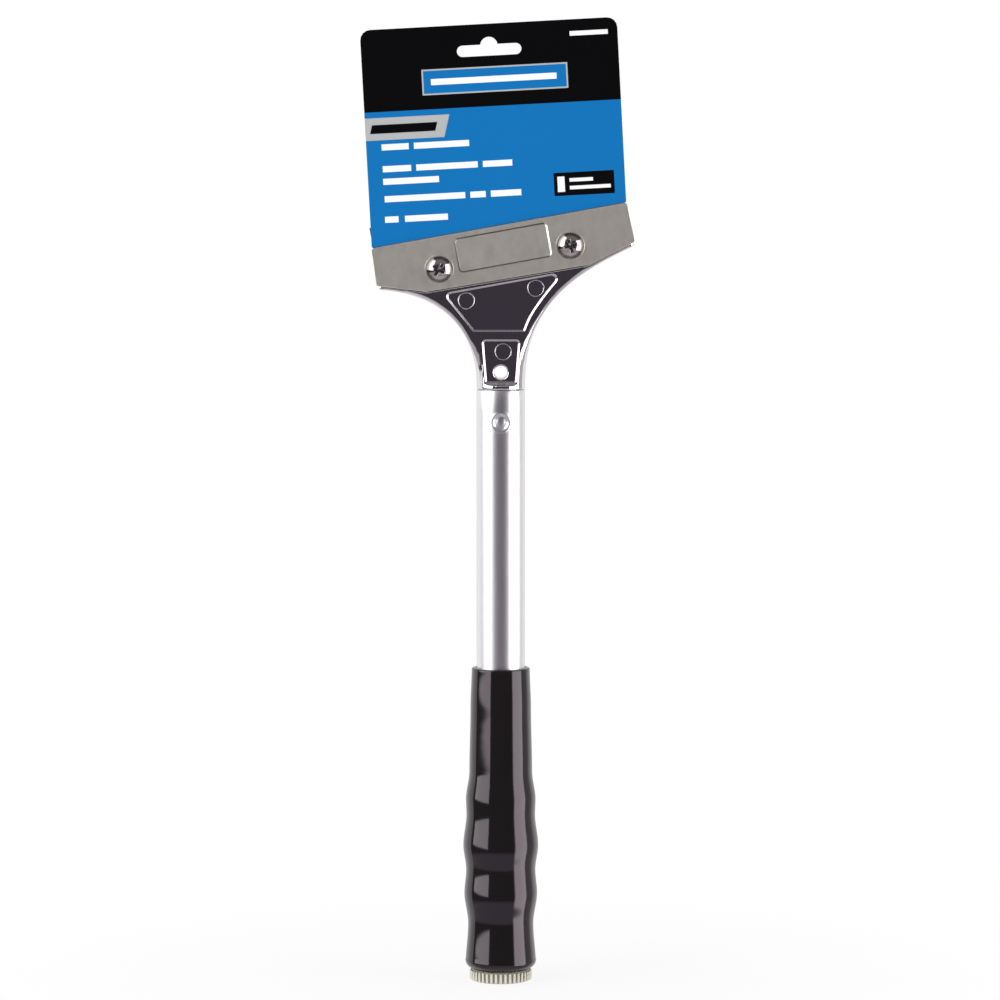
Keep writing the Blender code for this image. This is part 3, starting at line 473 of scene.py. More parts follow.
# %% Sizes of the casting and its openings
CASTING_CELL = 0.00042
CASTING_RELAX = 0.5
CASTING_RELAX_STEPS = 5
CASTING_SHARP = 75
CASTING_FACE = 0.0068
RECESS_FLOOR = 0.0056
PANEL = [(-0.01092, 0.257), (-0.02341, 0.27256), (0.02639, 0.28152), (0.01983, 0.27375),
         (0.01678, 0.26988), (0.01395, 0.2659), (0.0116, 0.26196), (0.00967, 0.257)]
KEYSTONE = [(-0.00672, 0.2368), (-0.00812, 0.2545), (0.00812, 0.2545), (0.00672, 0.2368)]
FILLER_SPARE = 0.0001
FILLER_DEPTH = 0.0005
HOLE_PLACE = (0.0, 0.2413)
HOLE_RADIUS = 0.0027
PLUG_SPARE = 0.0010
PLUG_BACK = -0.0085
print("recesses", round(1000 * (CASTING_FACE - RECESS_FLOOR), 2), "mm deep")


# %% Copy, join and fill
def copy_node(name, node):
    """A merged copy of a CAD node's mesh, at rest."""
    shape = bmesh.new()
    shape.from_mesh(frame["nodes"][node].data)
    bmesh.ops.remove_doubles(shape, verts=shape.verts, dist=1e-6)
    return make_object(name, shape)


def join_into(made, *others):
    """Add the meshes of other objects to a piece and delete those objects."""
    shape = bmesh.new()
    shape.from_mesh(made.data)
    for other in others:
        shape.from_mesh(other.data)
        bpy.data.objects.remove(other, do_unlink=True)
    shape.to_mesh(made.data)
    shape.free()


def facing_front(name, profile, place, steps=64):
    """A turned shape whose axis points out of the face at a place; its heights go forwards."""
    shape = turn(profile, steps)
    lay_down = Matrix.Rotation(math.radians(90), 4, "X")
    shape.transform(Matrix.Translation((place[0], 0.0, place[1])) @ lay_down)
    return make_object(name, shape)


def filler(corners):
    """A block that fills a recess up to the face."""
    wider = inset_corners(corners, [-FILLER_SPARE] * len(corners))
    levels = [(wider, RECESS_FLOOR - FILLER_DEPTH), (wider, CASTING_FACE)]
    return make_object("filler", skin(front_rings(levels)))


# %% Casting: even skin over a merged copy of the CAD node
head_body = copy_node("head_body", "head_casting")
plug = [(0.0, PLUG_BACK), (HOLE_RADIUS + PLUG_SPARE, PLUG_BACK),
        (HOLE_RADIUS + PLUG_SPARE, RECESS_FLOOR), (0.0, RECESS_FLOOR)]
join_into(head_body, filler(PANEL), filler(KEYSTONE), facing_front("plug", plug, HOLE_PLACE))
cells = head_body.modifiers.new("even_cells", "REMESH")
cells.mode = "VOXEL"
cells.voxel_size = CASTING_CELL
relax = head_body.modifiers.new("relax", "SMOOTH")
relax.factor = CASTING_RELAX
relax.iterations = CASTING_RELAX_STEPS
finish_modifiers(head_body, CASTING_SHARP)
print("casting cells of", CASTING_CELL * 1000, "mm,", triangles(head_body), "triangles")

# %% [markdown]
# Even cells are too coarse for the two recesses in the face, whose walls show thin bright lines.
# So each is now cut with a tool that has the mould's own section: a flat floor, a small hollow, a
# steep wall and a rounded top edge. The walls of a side may be made wider by a spread.

# %% Crisp recesses
WALL_TILT = math.radians(72)
TOP_TILT = math.radians(12)
TOP_ROUND = 0.00045
FOOT_ROUND = 0.00025
ROUND_STEPS = 8
UNDER_FLOOR = 0.0002
ABOVE_FACE = 0.0045
CORNER_GROWTH = 0.8


def wall_section():
    """(outward, upward) points of a recess's wall, from inside its floor to above the face."""
    section = [(-UNDER_FLOOR, 0.0), (0.0, 0.0)]
    for step in range(1, ROUND_STEPS + 1):
        tilt = WALL_TILT * step / ROUND_STEPS
        section.append((FOOT_ROUND * math.sin(tilt), FOOT_ROUND * (1 - math.cos(tilt))))
    drop = TOP_ROUND * (math.cos(TOP_TILT) - math.cos(WALL_TILT))
    crest = CASTING_FACE - RECESS_FLOOR - drop
    out = section[-1][0] + (crest - section[-1][1]) / math.tan(WALL_TILT)
    for step in range(ROUND_STEPS + 1):
        tilt = WALL_TILT + (TOP_TILT - WALL_TILT) * step / ROUND_STEPS
        section.append((out + TOP_ROUND * (math.sin(WALL_TILT) - math.sin(tilt)),
                        crest + TOP_ROUND * (math.cos(tilt) - math.cos(WALL_TILT))))
    return section + [(section[-1][0], ABOVE_FACE)]


def recess_tool(corners, edges, spreads, radii):
    """A cutter; each side has its top edge's inset and a spread that makes its wall wider."""
    section = wall_section()
    widest = section[-1][0]
    levels = []
    for out, up in section:
        insets = [edge + (widest - out) * spread for edge, spread in zip(edges, spreads)]
        rounds = [radius + CORNER_GROWTH * out for radius in radii]
        outline = round_corners(inset_corners(corners, insets), rounds, 6)
        levels.append((outline, RECESS_FLOOR + up))
    return make_object("recess_tool", skin(front_rings(levels)))


for corners, edges, spreads, radii in (
        (PANEL, [0.0003] * 8, (1.0, 0.9, 1.2, 1.2, 1.2, 1.2, 1.2, 1.0),
         (0.0005, 0.0012, 0.0014, 0.03, 0.03, 0.03, 0.03, 0.0005)),
        (KEYSTONE, (0.0005, 0.0002, 0.0003, 0.0003), (1.2, 0.9, 1.2, 1.0),
         (0.0005, 0.0009, 0.0009, 0.0005))):
    cut_away(head_body, recess_tool(corners, edges, spreads, radii))
print("casting with two recesses:", triangles(head_body), "triangles")

# %% [markdown]
# The hang hole is drilled again with a rounded front edge. The pins that push a casting out of its
# mould leave round marks in the floors of the recesses, each drawn by a low bead.

# %% Hang hole and pin marks
HOLE_ROUND = 0.0006
DRILL_BACK = -0.012
DRILL_FRONT = RECESS_FLOOR + 0.002
MARKS = ((-0.01351, 0.26947), (0.01366, 0.27436), (0.0009, 0.2495))
MARK_RADIUS = 0.00315


def low_bead(radius, front, thick=0.00022, sunk_share=0.65, steps=16):
    """The section of a thin ring that is mostly sunk into a face."""
    section = []
    for step in range(steps):
        angle = math.tau * step / steps
        section.append((radius + thick * math.cos(angle),
                        front - sunk_share * thick + thick * math.sin(angle)))
    return section


drill = [(0.0, DRILL_BACK), (HOLE_RADIUS, DRILL_BACK)]
for step in range(8):
    angle = math.radians(12 * step)
    drill.append((HOLE_RADIUS + HOLE_ROUND * (1 - math.cos(angle)),
                  RECESS_FLOOR - HOLE_ROUND * (1 - math.sin(angle))))
drill += [(drill[-1][0], DRILL_FRONT), (0.0, DRILL_FRONT)]
cut_away(head_body, facing_front("drill", drill, HOLE_PLACE))
bead = low_bead(MARK_RADIUS, RECESS_FLOOR)
join_into(head_body, *[facing_front("bead", bead, place, 96) for place in MARKS])
head_body.data.set_sharp_from_angle(angle=math.radians(CASTING_SHARP))
print("finished casting:", triangles(head_body), "triangles")

# %% [markdown]
# Chrome is a colour, a very low roughness and, above all, small faults: the cast face under it is
# never quite flat. Three layers of noise bend the light, one as wide as a fingertip, one as fine as
# orange peel and one of faint streaks, and the roughness wanders where fingers have been.


# %% Give a piece its finish
def paint(made, finish, body, slot, *nodes):
    """Give a piece its finish and its body, and hide the CAD nodes it stands for; slot is not used.
    """
    made.data.materials.clear()
    made.data.materials.append(finish.material)
    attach(made, body)
    if nodes:
        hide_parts(*nodes)
    print(made.name, triangles(made), "triangles on", body)


# %% Chrome finish
chrome = Finish("chrome_plating", base_color=(0.67, 0.655, 0.66, 1.0), metallic=1.0)
spot = chrome.place()
wide_waves = chrome.noise(spot, 150.0, 2.0)
peel = chrome.noise(spot, 1400.0, 2.0)
streaks = chrome.noise(chrome.place(scale=(40.0, 40.0, 1100.0)), 1.0, 3.0, 0.6)
chrome.feed("Roughness", 0.05 + 0.07 * chrome.noise(spot, 90.0, 4.0) + 0.05 * streaks)
chrome.bump(wide_waves * 0.8 + peel * 0.12 + streaks * 0.05, 0.00006)
paint(head_body, chrome, "handle", "chrome_casting", "head_casting")

# %% [markdown]
# ## Clamp plate
#
# The plate is stamped from thick strip: six sides, a hair of radius on every edge, two punched
# holes and a coined pad. It is drawn in the frame of the skewed head, then turned into place once,
# in its mesh. It is a little higher at its right end than at its left.

# %% Sizes in the head's own frame
HEAD_SKEW = math.radians(10.2)
HEAD_PLACE = Vector((-0.0007, 0.0, 0.2988))
HEAD_TURN = Matrix.Translation(HEAD_PLACE) @ Matrix.Rotation(-HEAD_SKEW, 4, "Y")
PLATE_FRONT = 0.0074
PLATE_BACK = 0.00605
PLATE_TOP_HALF = 0.05075
PLATE_LOW_HALF = 0.0513
PLATE_FOOT_HALF = 0.0325
PLATE_LEFT_SIDE = 0.0147
PLATE_RIGHT_SIDE = 0.0155
PLATE_LEFT_HEIGHT = 0.0204
PLATE_RIGHT_HEIGHT = 0.0212
SCREW_PLACES = [(side * 0.0260, -0.0126) for side in (-1, 1)]
print("screw places in the head's frame, mm:",
      [(round(1000 * x, 1), round(1000 * z, 1)) for x, z in SCREW_PLACES])

# %% [markdown]
# The outline has its corners rounded and becomes a slab. The edges get a real bevel, because a
# straight metal edge without one never shines.

# %% Plate blank with bevelled edges and punched holes
CORNER_ROUND = 0.001
PUNCH_RADIUS = 0.0028
PUNCH_REACH = 0.02
EDGE_ROUND = 0.00028
PLATE_SHARP = 50
blank = round_corners([(-PLATE_TOP_HALF, 0.0), (PLATE_TOP_HALF, 0.0),
                       (PLATE_LOW_HALF, -PLATE_RIGHT_SIDE), (PLATE_FOOT_HALF, -PLATE_RIGHT_HEIGHT),
                       (-PLATE_FOOT_HALF, -PLATE_LEFT_HEIGHT), (-PLATE_LOW_HALF, -PLATE_LEFT_SIDE)],
                      [CORNER_ROUND] * 6)
plate = make_object("clamp_plate_dressed",
                    skin(front_rings([(blank, PLATE_BACK), (blank, PLATE_FRONT)])))
punch = [(0.0, -PUNCH_REACH), (PUNCH_RADIUS, -PUNCH_REACH), (PUNCH_RADIUS, PUNCH_REACH),
         (0.0, PUNCH_REACH)]
for place in SCREW_PLACES:
    cut_away(plate, facing_front("punch", punch, place, 48))
edge = plate.modifiers.new("edge", "BEVEL")
edge.width = EDGE_ROUND
edge.segments = 3
edge.limit_method = "ANGLE"
edge.angle_limit = math.radians(40)
finish_modifiers(plate, PLATE_SHARP)
print("plate blank:", triangles(plate), "triangles")

# %% [markdown]
# The coined pad rises in a soft S from a crisp foot. Its height follows an ease curve over nine
# outlines, each a little smaller than the one before. The field stays plain. Where the screws were
# driven home they pressed a thin raised ring round their seats. The wide faces are shaded flat,
# because soft shading over a wide face shows false wedges.

# %% Coined pad and seat rings
PAD_HALF = 0.0186
PAD_TOP = -0.0018
PAD_FOOT = -0.0156
PAD_SUNK = 0.0003
PAD_RISE = 0.0005
PAD_SLOPE = 0.0008
PAD_CORNER = 0.0020
PAD_STEPS = 8
SCREW_RADIUS = 0.0051
SEAT_MARGIN = 0.0004
FLAT_AREA = 4e-6


def ease(share):
    """From 0 to 1 with a soft start and a soft end."""
    return share * share * (3 - 2 * share)


pad_corners = [(-PAD_HALF, PAD_TOP), (PAD_HALF, PAD_TOP), (PAD_HALF, PAD_FOOT),
               (-PAD_HALF, PAD_FOOT)]
pad_levels = [(round_corners(pad_corners, [PAD_CORNER] * 4), PLATE_FRONT - PAD_SUNK)]
for step in range(PAD_STEPS + 1):
    share = step / PAD_STEPS
    smaller = round_corners(inset_corners(pad_corners, [PAD_SLOPE * share] * 4),
                            [PAD_CORNER - PAD_SLOPE * share] * 4)
    pad_levels.append((smaller, PLATE_FRONT + PAD_RISE * ease(share)))
seat_ring = low_bead(SCREW_RADIUS + SEAT_MARGIN, PLATE_FRONT)
join_into(plate, make_object("pad", skin(front_rings(pad_levels)), 60),
          *[facing_front("seat_ring", seat_ring, place, 96) for place in SCREW_PLACES])
plate.data.transform(HEAD_TURN)
plate.data.shade_smooth()
plate.data.set_sharp_from_angle(angle=math.radians(PLATE_SHARP))
for face in plate.data.polygons:
    face.use_smooth = face.area < FLAT_AREA
print("plate with its pad:", triangles(plate), "triangles")

# %% [markdown]
# The plating on the plate is satin: the strip was tumbled, so it keeps faint marks that run up its
# height and a mottled sheen. Stretched noise gives both. Painted shade darkens the pad's flank on
# three sides. The distance from a rectangle with round corners, in the head's frame, says where,
# and the right flank is left without it, so that its highlight shows.

# %% Satin nickel finish
DEEP_NICKEL = (0.76, 0.745, 0.65, 1.0)
PALE_NICKEL = (0.96, 0.94, 0.83, 1.0)
# Painted shade: the dark colour laid on the pad's flank.
PAD_FLANK_SHADE = (0.13, 0.12, 0.11, 1.0)
PAD_FLANK_SHADE_LIMITS = (-0.00068, -0.00005, 0.0001)
UNSHADED_FLANK = 0.0010
satin = Finish("satin_nickel", metallic=1.0)
skewed = (0.0, HEAD_SKEW, 0.0)
drawn = satin.noise(satin.place(scale=(1900.0, 1900.0, 110.0), turn_by=skewed), 1.0, 4.0, 0.65)
mottle = satin.noise(satin.place(scale=(420.0, 420.0, 260.0), turn_by=skewed), 1.0, 3.0)
in_head = satin.tilted(HEAD_PLACE, HEAD_SKEW)
sideways = satin.axis(in_head, "X")
upward = satin.axis(in_head, "Z")
past_side = abs(sideways) - (PAD_HALF - PAD_CORNER)
past_end = abs(upward - (PAD_TOP + PAD_FOOT) / 2) - ((PAD_TOP - PAD_FOOT) / 2 - PAD_CORNER)
past = {0: past_side.maths("MAXIMUM", past_side), 1: past_end.maths("MAXIMUM", past_end)}
rim = satin.length(satin.node("ShaderNodeCombineXYZ", {}, past)) - PAD_CORNER
# Painted shade on the pad's flank, left off the right flank so that its highlight shows.
painted_flank_shade = within(satin, rim, *PAD_FLANK_SHADE_LIMITS) * (sideways < PAD_HALF - UNSHADED_FLANK)
metal = satin.mix(mottle * 0.75 + drawn * 0.25, DEEP_NICKEL, PALE_NICKEL)
satin.feed("Base Color", satin.mix(painted_flank_shade, metal, PAD_FLANK_SHADE))
satin.feed("Roughness", 0.42 + 0.10 * mottle)
satin.bump(drawn, 0.00001)
paint(plate, satin, "clamp", "satin_plate", "clamp_plate")

# %% [markdown]
# ## Clamp screws
#
# Two pan-head screws with a cross recess hold the plate. The head is a dome with a cross-shaped
# pit in it, and both are one height over a round grid, so the recess gets soft edges without any
# cutting. Each screw is made upright and then laid into the plate, turned as it was left by hand.

# %% Screw head as a height over a round grid
SCREW_RISE = 0.0027
SCREW_EDGE = 0.0003
DOME_RISE = SCREW_RISE - SCREW_EDGE
DOME_RADIUS = (SCREW_RADIUS ** 2 + DOME_RISE ** 2) / (2 * DOME_RISE)
CROSS_REACH = 0.0027
CROSS_WING = 0.00055
CROSS_DEPTH = 0.0019
CROSS_SLOPE_SHARE = 0.45
WING_SOFT = 0.0002
REACH_SOFT = 0.0003


def soft_inside(distance, soft):
    """1 well inside an edge, 0 well outside, with an easy turn of the given width."""
    return ease(min(max(0.5 - distance / soft, 0.0), 1.0))


def head_height(x, y):
    """Height of the screw head over its seat at a point."""
    out = min(math.hypot(x, y), SCREW_RADIUS)
    dome = SCREW_RISE - DOME_RADIUS + math.sqrt(DOME_RADIUS ** 2 - out ** 2)
    longer = max(abs(x), abs(y))
    shorter = min(abs(x), abs(y))
    pit = (soft_inside(shorter - CROSS_WING, WING_SOFT)
           * soft_inside(longer - CROSS_REACH, REACH_SOFT))
    slope = 1 - CROSS_SLOPE_SHARE * min(longer / CROSS_REACH, 1.0)
    return dome - CROSS_DEPTH * slope * pit


print("screw head, mm high in its cross:", round(1000 * head_height(0.0, 0.0), 2))

# %% [markdown]
# Seen from its tip, the screw is a stack of rings: the chamfered end, the shank, the flat under
# the head, its low edge and then the dome, whose rings crowd together towards the rim.

# %% Screws as stacks of rings
SCREW_SHANK = 0.0025
SCREW_LENGTH = 0.0090
SCREW_CHAMFER = 0.0003
SCREW_SEAT = PLATE_FRONT + 0.0003
HEAD_CHAMFER = 0.0001
SMALLEST_RING = 0.00002
SCREW_STEPS = 128
SCREW_RINGS = 44


def screw_ring(radius, height):
    """A ring round the screw's axis; its height is a function of x and y."""
    ring = []
    for step in range(SCREW_STEPS):
        x = radius * math.cos(math.tau * step / SCREW_STEPS)
        y = radius * math.sin(math.tau * step / SCREW_STEPS)
        ring.append((x, y, height(x, y)))
    return ring


def clamp_screw(name, place, turn_degrees):
    """One screw, laid into the plate."""
    tip = SCREW_SEAT - SCREW_LENGTH
    profile = ((HEAD_CHAMFER, tip), (SCREW_SHANK - SCREW_CHAMFER, tip),
               (SCREW_SHANK, tip + SCREW_CHAMFER), (SCREW_SHANK, SCREW_SEAT),
               (SCREW_RADIUS - HEAD_CHAMFER, SCREW_SEAT), (SCREW_RADIUS, SCREW_SEAT + HEAD_CHAMFER))
    rings = [screw_ring(radius, lambda x, y: level) for radius, level in profile]
    for ring in range(SCREW_RINGS + 1):
        radius = SCREW_RADIUS * math.sin(math.pi / 2 * (1 - ring / SCREW_RINGS))
        rings.append(screw_ring(max(radius, SMALLEST_RING),
                                lambda x, y: SCREW_SEAT + head_height(x, y)))
    shape = skin(rings)
    shape.transform(HEAD_TURN @ Matrix.Translation((place[0], 0.0, place[1]))
                    @ Matrix.Rotation(math.radians(90), 4, "X")
                    @ Matrix.Rotation(math.radians(turn_degrees), 4, "Z"))
    return make_object(name, shape, 60)


left_screw = clamp_screw("left_screw_dressed", SCREW_PLACES[0], 45)
right_screw = clamp_screw("right_screw_dressed", SCREW_PLACES[1], 7)
print("each screw:", triangles(left_screw), "triangles")

# %% [markdown]
# Painted shade darkens the bright plating towards the rim of each screw head, by the distance from
# the nearer screw's axis.

# %% Screw finish
BRIGHT_METAL = (0.42, 0.395, 0.385, 1.0)
# Painted shade: the dark colour at the rim of each screw head.
SHADED_RIM_METAL = (0.15, 0.125, 0.115, 1.0)
RIM_SHADE_LIMITS = (0.76, 0.92)
bright = Finish("bright_chrome", metallic=1.0)
reaches = []
for place in SCREW_PLACES:
    middle = HEAD_TURN @ Vector((place[0], 0.0, place[1]))
    from_screw = bright.place(scale=(1.0, 0.0, 1.0), move=(-middle.x, 0.0, -middle.z))
    reaches.append(bright.length(from_screw))
reach = reaches[0].maths("MINIMUM", *reaches) / SCREW_RADIUS
uneven = 0.12 * bright.noise(bright.place(), 500.0, 3.0)
# Painted shade towards the rim of each screw head, with noise to break up its edge.
painted_rim_shade = ramp_up(bright, reach + uneven, *RIM_SHADE_LIMITS)
bright.feed("Base Color", bright.mix(painted_rim_shade, BRIGHT_METAL, SHADED_RIM_METAL))
bright.feed("Roughness", 0.05 + 0.08 * bright.noise(bright.place(), 700.0, 4.0))
bright.bump(bright.noise(bright.place(), 900.0, 2.0), 0.000015)
paint(left_screw, bright, "left_screw", "chrome_screw", "clamp_screw_left")
paint(right_screw, bright, "right_screw", "chrome_screw", "clamp_screw_right")

# %% [markdown]
# ## Handle tube
#
# The handle is drawn aluminium tube. One punched dent just under the collar locks it to the
# casting's spigot. A ring-shaped punch pulls the wall in over a round patch, with a low crown in
# the middle and a faint raised lip, so the radius of a turned tube is lowered by a function of the
# distance from it.

# %% The dent as a depth at a place
TUBE_RADIUS = 0.009525
TUBE_BORE = 0.008625
TUBE_FOOT = 0.0048
TUBE_TOP = 0.2343
DENT_HEIGHT = 0.2219
DENT_RADIUS = 0.0034
DENT_DEPTH = 0.0010
DENT_WALL = 0.34
DENT_CROWN = 0.24
DENT_LIP = 0.00008
LIP_PLACE = 1.12
LIP_WIDTH = 0.12


def dent(angle, height):
    """How far the punch pushed the wall in at a place on the tube."""
    aside = TUBE_RADIUS * math.remainder(angle + math.pi / 2, math.tau)
    away = math.hypot(aside, height - DENT_HEIGHT) / DENT_RADIUS
    hollow = ease(min(max((1 - away) / DENT_WALL, 0.0), 1.0))
    crown = DENT_CROWN * max(0.0, 1 - (away / (1 - DENT_WALL)) ** 2)
    lip = DENT_LIP * math.exp(-((away - LIP_PLACE) / LIP_WIDTH) ** 2)
    return DENT_DEPTH * (hollow - crown) - lip


print("dent at its middle, mm deep:", round(1000 * dent(-math.pi / 2, DENT_HEIGHT), 2))

# %% [markdown]
# Each ring runs up the tube's outside and down its bore. The rows crowd together at the dent alone,
# so the long plain wall costs few faces.

# %% Tube with one punched dent
TUBE_EDGE = 0.0002
TUBE_EDGE_DROP = 0.00015
TUBE_STEPS = 320
DENT_SPAN = 0.009
DENT_ROWS = 80
heights = [TUBE_FOOT, TUBE_FOOT + TUBE_EDGE, 0.05, 0.1, 0.15, 0.2]
heights += [DENT_HEIGHT - DENT_SPAN / 2 + DENT_SPAN * row / DENT_ROWS
            for row in range(DENT_ROWS + 1)]
heights += [TUBE_TOP - TUBE_EDGE, TUBE_TOP]
rings = []
for step in range(TUBE_STEPS):
    angle = math.tau * step / TUBE_STEPS
    wall = []
    for height in heights:
        drop = TUBE_EDGE_DROP if height in (TUBE_FOOT, TUBE_TOP) else 0.0
        wall.append((TUBE_RADIUS - dent(angle, height) - drop, height))
    wall += [(TUBE_BORE - dent(angle, height), height) for height in reversed(heights)]
    rings.append([(r * math.cos(angle), r * math.sin(angle), z) for r, z in wall])
tube = make_object("tube_dressed", skin(rings, closed_loop=True), 50)
print("tube", round(1000 * (TUBE_TOP - TUBE_FOOT), 1), "mm long,", triangles(tube), "triangles")

# %% [markdown]
# Drawing the tube through its die leaves fine lines along it, and the clear anodising on top turns
# the metal a little milky. Both stay very faint: the big light and dark stripes are reflections.

# %% Drawn aluminium finish
aluminium = Finish("drawn_aluminium", base_color=(0.74, 0.74, 0.75, 1.0), metallic=1.0)
lines = aluminium.noise(aluminium.place(scale=(2600.0, 2600.0, 14.0)), 1.0, 4.0, 0.6)
clouds = aluminium.noise(aluminium.place(scale=(200.0, 200.0, 40.0)), 1.0, 3.0)
aluminium.feed("Roughness", 0.32 + 0.05 * clouds + 0.05 * lines)
aluminium.bump(lines, 0.000006)
paint(tube, aluminium, "handle", "aluminium_tube", "handle_tube")

# %% [markdown]
# ## Grip
#
# The grip is soft vinyl with three finger swells. Its outline is a short table: how high up the
# grip, and which share of the full wall. An ease between neighbours makes the swells. Turning that
# outline gives the body; the lip on top and the foot are rounded, as a moulded edge is.

# %% Grip from its swells
GRIP_FOOT = 0.0048
GRIP_LENGTH = 0.1198
GRIP_WALL = 0.005325
GRIP_GAP = 0.0003
GRIP_LIP = 0.0007
GRIP_FOOT_ROUND = 0.0034
SWELLS = ((1.000, 0.368), (0.866, 0.460), (0.656, 0.545), (0.563, 0.800), (0.512, 0.764),
          (0.410, 1.000), (0.329, 0.789), (0.250, 0.922), (0.150, 0.640), (0.000, 0.851))
ROWS_PER_SWELL = 14


def swell_outline():
    """(radius, height) points down the outside of the grip."""
    side = []
    for (start, wide), (end, narrow) in zip(SWELLS, SWELLS[1:]):
        for row in range(ROWS_PER_SWELL):
            share = row / ROWS_PER_SWELL
            wall = GRIP_WALL * (wide + (narrow - wide) * ease(share))
            height = GRIP_FOOT + GRIP_LENGTH * (start + (end - start) * share)
            side.append((TUBE_RADIUS + wall, height))
    return side


def quarter(middle, radius, start, steps=8):
    """A quarter circle of points round a middle, from an angle onwards, clockwise."""
    points = []
    for step in range(steps + 1):
        angle = math.radians(start - 90 * step / steps)
        points.append((middle[0] + radius * math.cos(angle), middle[1] + radius * math.sin(angle)))
    return points


side = swell_outline()
top_radius, top = side[0]
foot_radius = TUBE_RADIUS + SWELLS[-1][1] * GRIP_WALL
outline = quarter((top_radius - GRIP_LIP, top - GRIP_LIP), GRIP_LIP, 90)
outline += [point for point in side if GRIP_FOOT + GRIP_FOOT_ROUND < point[1] < top - GRIP_LIP]
outline += quarter((foot_radius - GRIP_FOOT_ROUND, GRIP_FOOT + GRIP_FOOT_ROUND),
                   GRIP_FOOT_ROUND, 0)
outline += [(TUBE_RADIUS + GRIP_GAP, GRIP_FOOT), (TUBE_RADIUS + GRIP_GAP, GRIP_FOOT + GRIP_LENGTH)]
grip = make_object("grip_dressed", turn(outline, 160), 60)
print("grip: widest", round(2000 * max(radius for radius, height in outline), 1), "mm across")

# %% [markdown]
# Dipped vinyl is nearly black and very glossy. Slow waves in its skin bend the windows that it
# mirrors, and a weak specular tint gives them their faint purple.

# %% Glossy vinyl finish
vinyl = Finish("glossy_vinyl", base_color=(0.008, 0.007, 0.007, 1.0), ior=1.5,
               specular_tint=(1.0, 0.88, 0.98, 1.0))
orange = vinyl.noise(vinyl.place(), 420.0, 2.0)
slow = vinyl.noise(vinyl.place(), 70.0, 2.0)
vinyl.feed("Roughness", 0.06 + 0.06 * vinyl.noise(vinyl.place(), 150.0, 4.0))
vinyl.bump(slow + orange * 0.06, 0.00004)
paint(grip, vinyl, "handle", "black_vinyl", "grip_sleeve")

# %% [markdown]
# ## End cap
#
# The cap is moulded in ivory plastic: a disc with a hollow plug, and a ring of small upright ribs
# to twist it by. The disc and plug are turned from one outline.

# %% Cap body
CAP_RADIUS = 0.01235
CAP_HEIGHT = 0.0045
CAP_EDGE = 0.0006
RIB_DEPTH = 0.0009
PLUG_RADIUS = 0.008325
PLUG_TOP = 0.0165
PLUG_EDGE = 0.0008
PLUG_WALL = 0.0018
disc = CAP_RADIUS - RIB_DEPTH - CAP_EDGE
cap_outline = [(0.0, 0.0)] + quarter((disc, CAP_EDGE), CAP_EDGE, 0, 6)[::-1]
cap_outline += quarter((disc, CAP_HEIGHT - CAP_EDGE), CAP_EDGE, 90, 6)[::-1]
cap_outline += [(PLUG_RADIUS, CAP_HEIGHT), (PLUG_RADIUS, PLUG_TOP - PLUG_EDGE),
                (PLUG_RADIUS - PLUG_EDGE, PLUG_TOP), (PLUG_RADIUS - PLUG_WALL, PLUG_TOP),
                (PLUG_RADIUS - PLUG_WALL, CAP_HEIGHT / 2), (0.0, CAP_HEIGHT / 2)]
cap = make_object("end_cap_dressed", turn(cap_outline, 144), 50)
print("cap body:", triangles(cap), "triangles")

# %% [markdown]
# The ribs repeat, so Geometry Nodes make them: a sphere is pulled into a short capsule, set on
# every point of a circle, and made real. The tree's sizes are its named inputs, and the cap's
# finish goes in as one of them.

# %% A node tree and its named inputs
ribs = bpy.data.node_groups.new("cap_ribs", "GeometryNodeTree")
ribs.is_modifier = True
ribs.interface.new_socket("Geometry", in_out="INPUT", socket_type="NodeSocketGeometry")
sizes = {"Rib Count": ("NodeSocketInt", 40), "Circle Radius": ("NodeSocketFloat", 0.01180),
         "Rib Radius": ("NodeSocketFloat", 0.00055), "Rib Stretch": ("NodeSocketFloat", 0.0014),
         "Middle Height": ("NodeSocketFloat", 0.00225), "Plastic": ("NodeSocketMaterial", None)}
keys = {}
for title, (kind, value) in sizes.items():
    keys[title] = ribs.interface.new_socket(title, in_out="INPUT", socket_type=kind).identifier
ribs.interface.new_socket("Geometry", in_out="OUTPUT", socket_type="NodeSocketGeometry")


def rib_node(kind, sockets=None, output=0, **settings):
    """Add a Geometry Node with its settings and links; returns one output, or the node."""
    made = ribs.nodes.new(kind)
    for words, value in settings.items():
        setattr(made, words, value)
    for key, value in (sockets or {}).items():
        if isinstance(value, bpy.types.NodeSocket):
            ribs.links.new(value, made.inputs[key])
        else:
            made.inputs[key].default_value = value
    return made if output is None else made.outputs[output]


given = rib_node("NodeGroupInput", output=None).outputs
print("inputs of the rib tree:", sorted(sizes))

# %% Ribs round a circle
ball_sizes = {"Segments": 12, "Rings": 8, "Radius": given["Rib Radius"]}
ball = rib_node("GeometryNodeMeshUVSphere", ball_sizes, "Mesh")
place = rib_node("GeometryNodeInputPosition")
place_z = rib_node("ShaderNodeSeparateXYZ", {0: place}, "Z")
sign = rib_node("ShaderNodeMath", {0: place_z}, operation="SIGN")
pull = rib_node("ShaderNodeMath", {0: sign, 1: given["Rib Stretch"]}, operation="MULTIPLY")
offset = rib_node("ShaderNodeCombineXYZ", {"Z": pull})
capsule = rib_node("GeometryNodeSetPosition", {"Geometry": ball, "Offset": offset})
circle_sizes = {"Vertices": given["Rib Count"], "Radius": given["Circle Radius"]}
circle = rib_node("GeometryNodeMeshCircle", circle_sizes, "Mesh")
lift = rib_node("ShaderNodeCombineXYZ", {"Z": given["Middle Height"]})
raised = rib_node("GeometryNodeTransform", {"Geometry": circle, "Translation": lift})
set_on = rib_node("GeometryNodeInstanceOnPoints", {"Points": raised, "Instance": capsule})
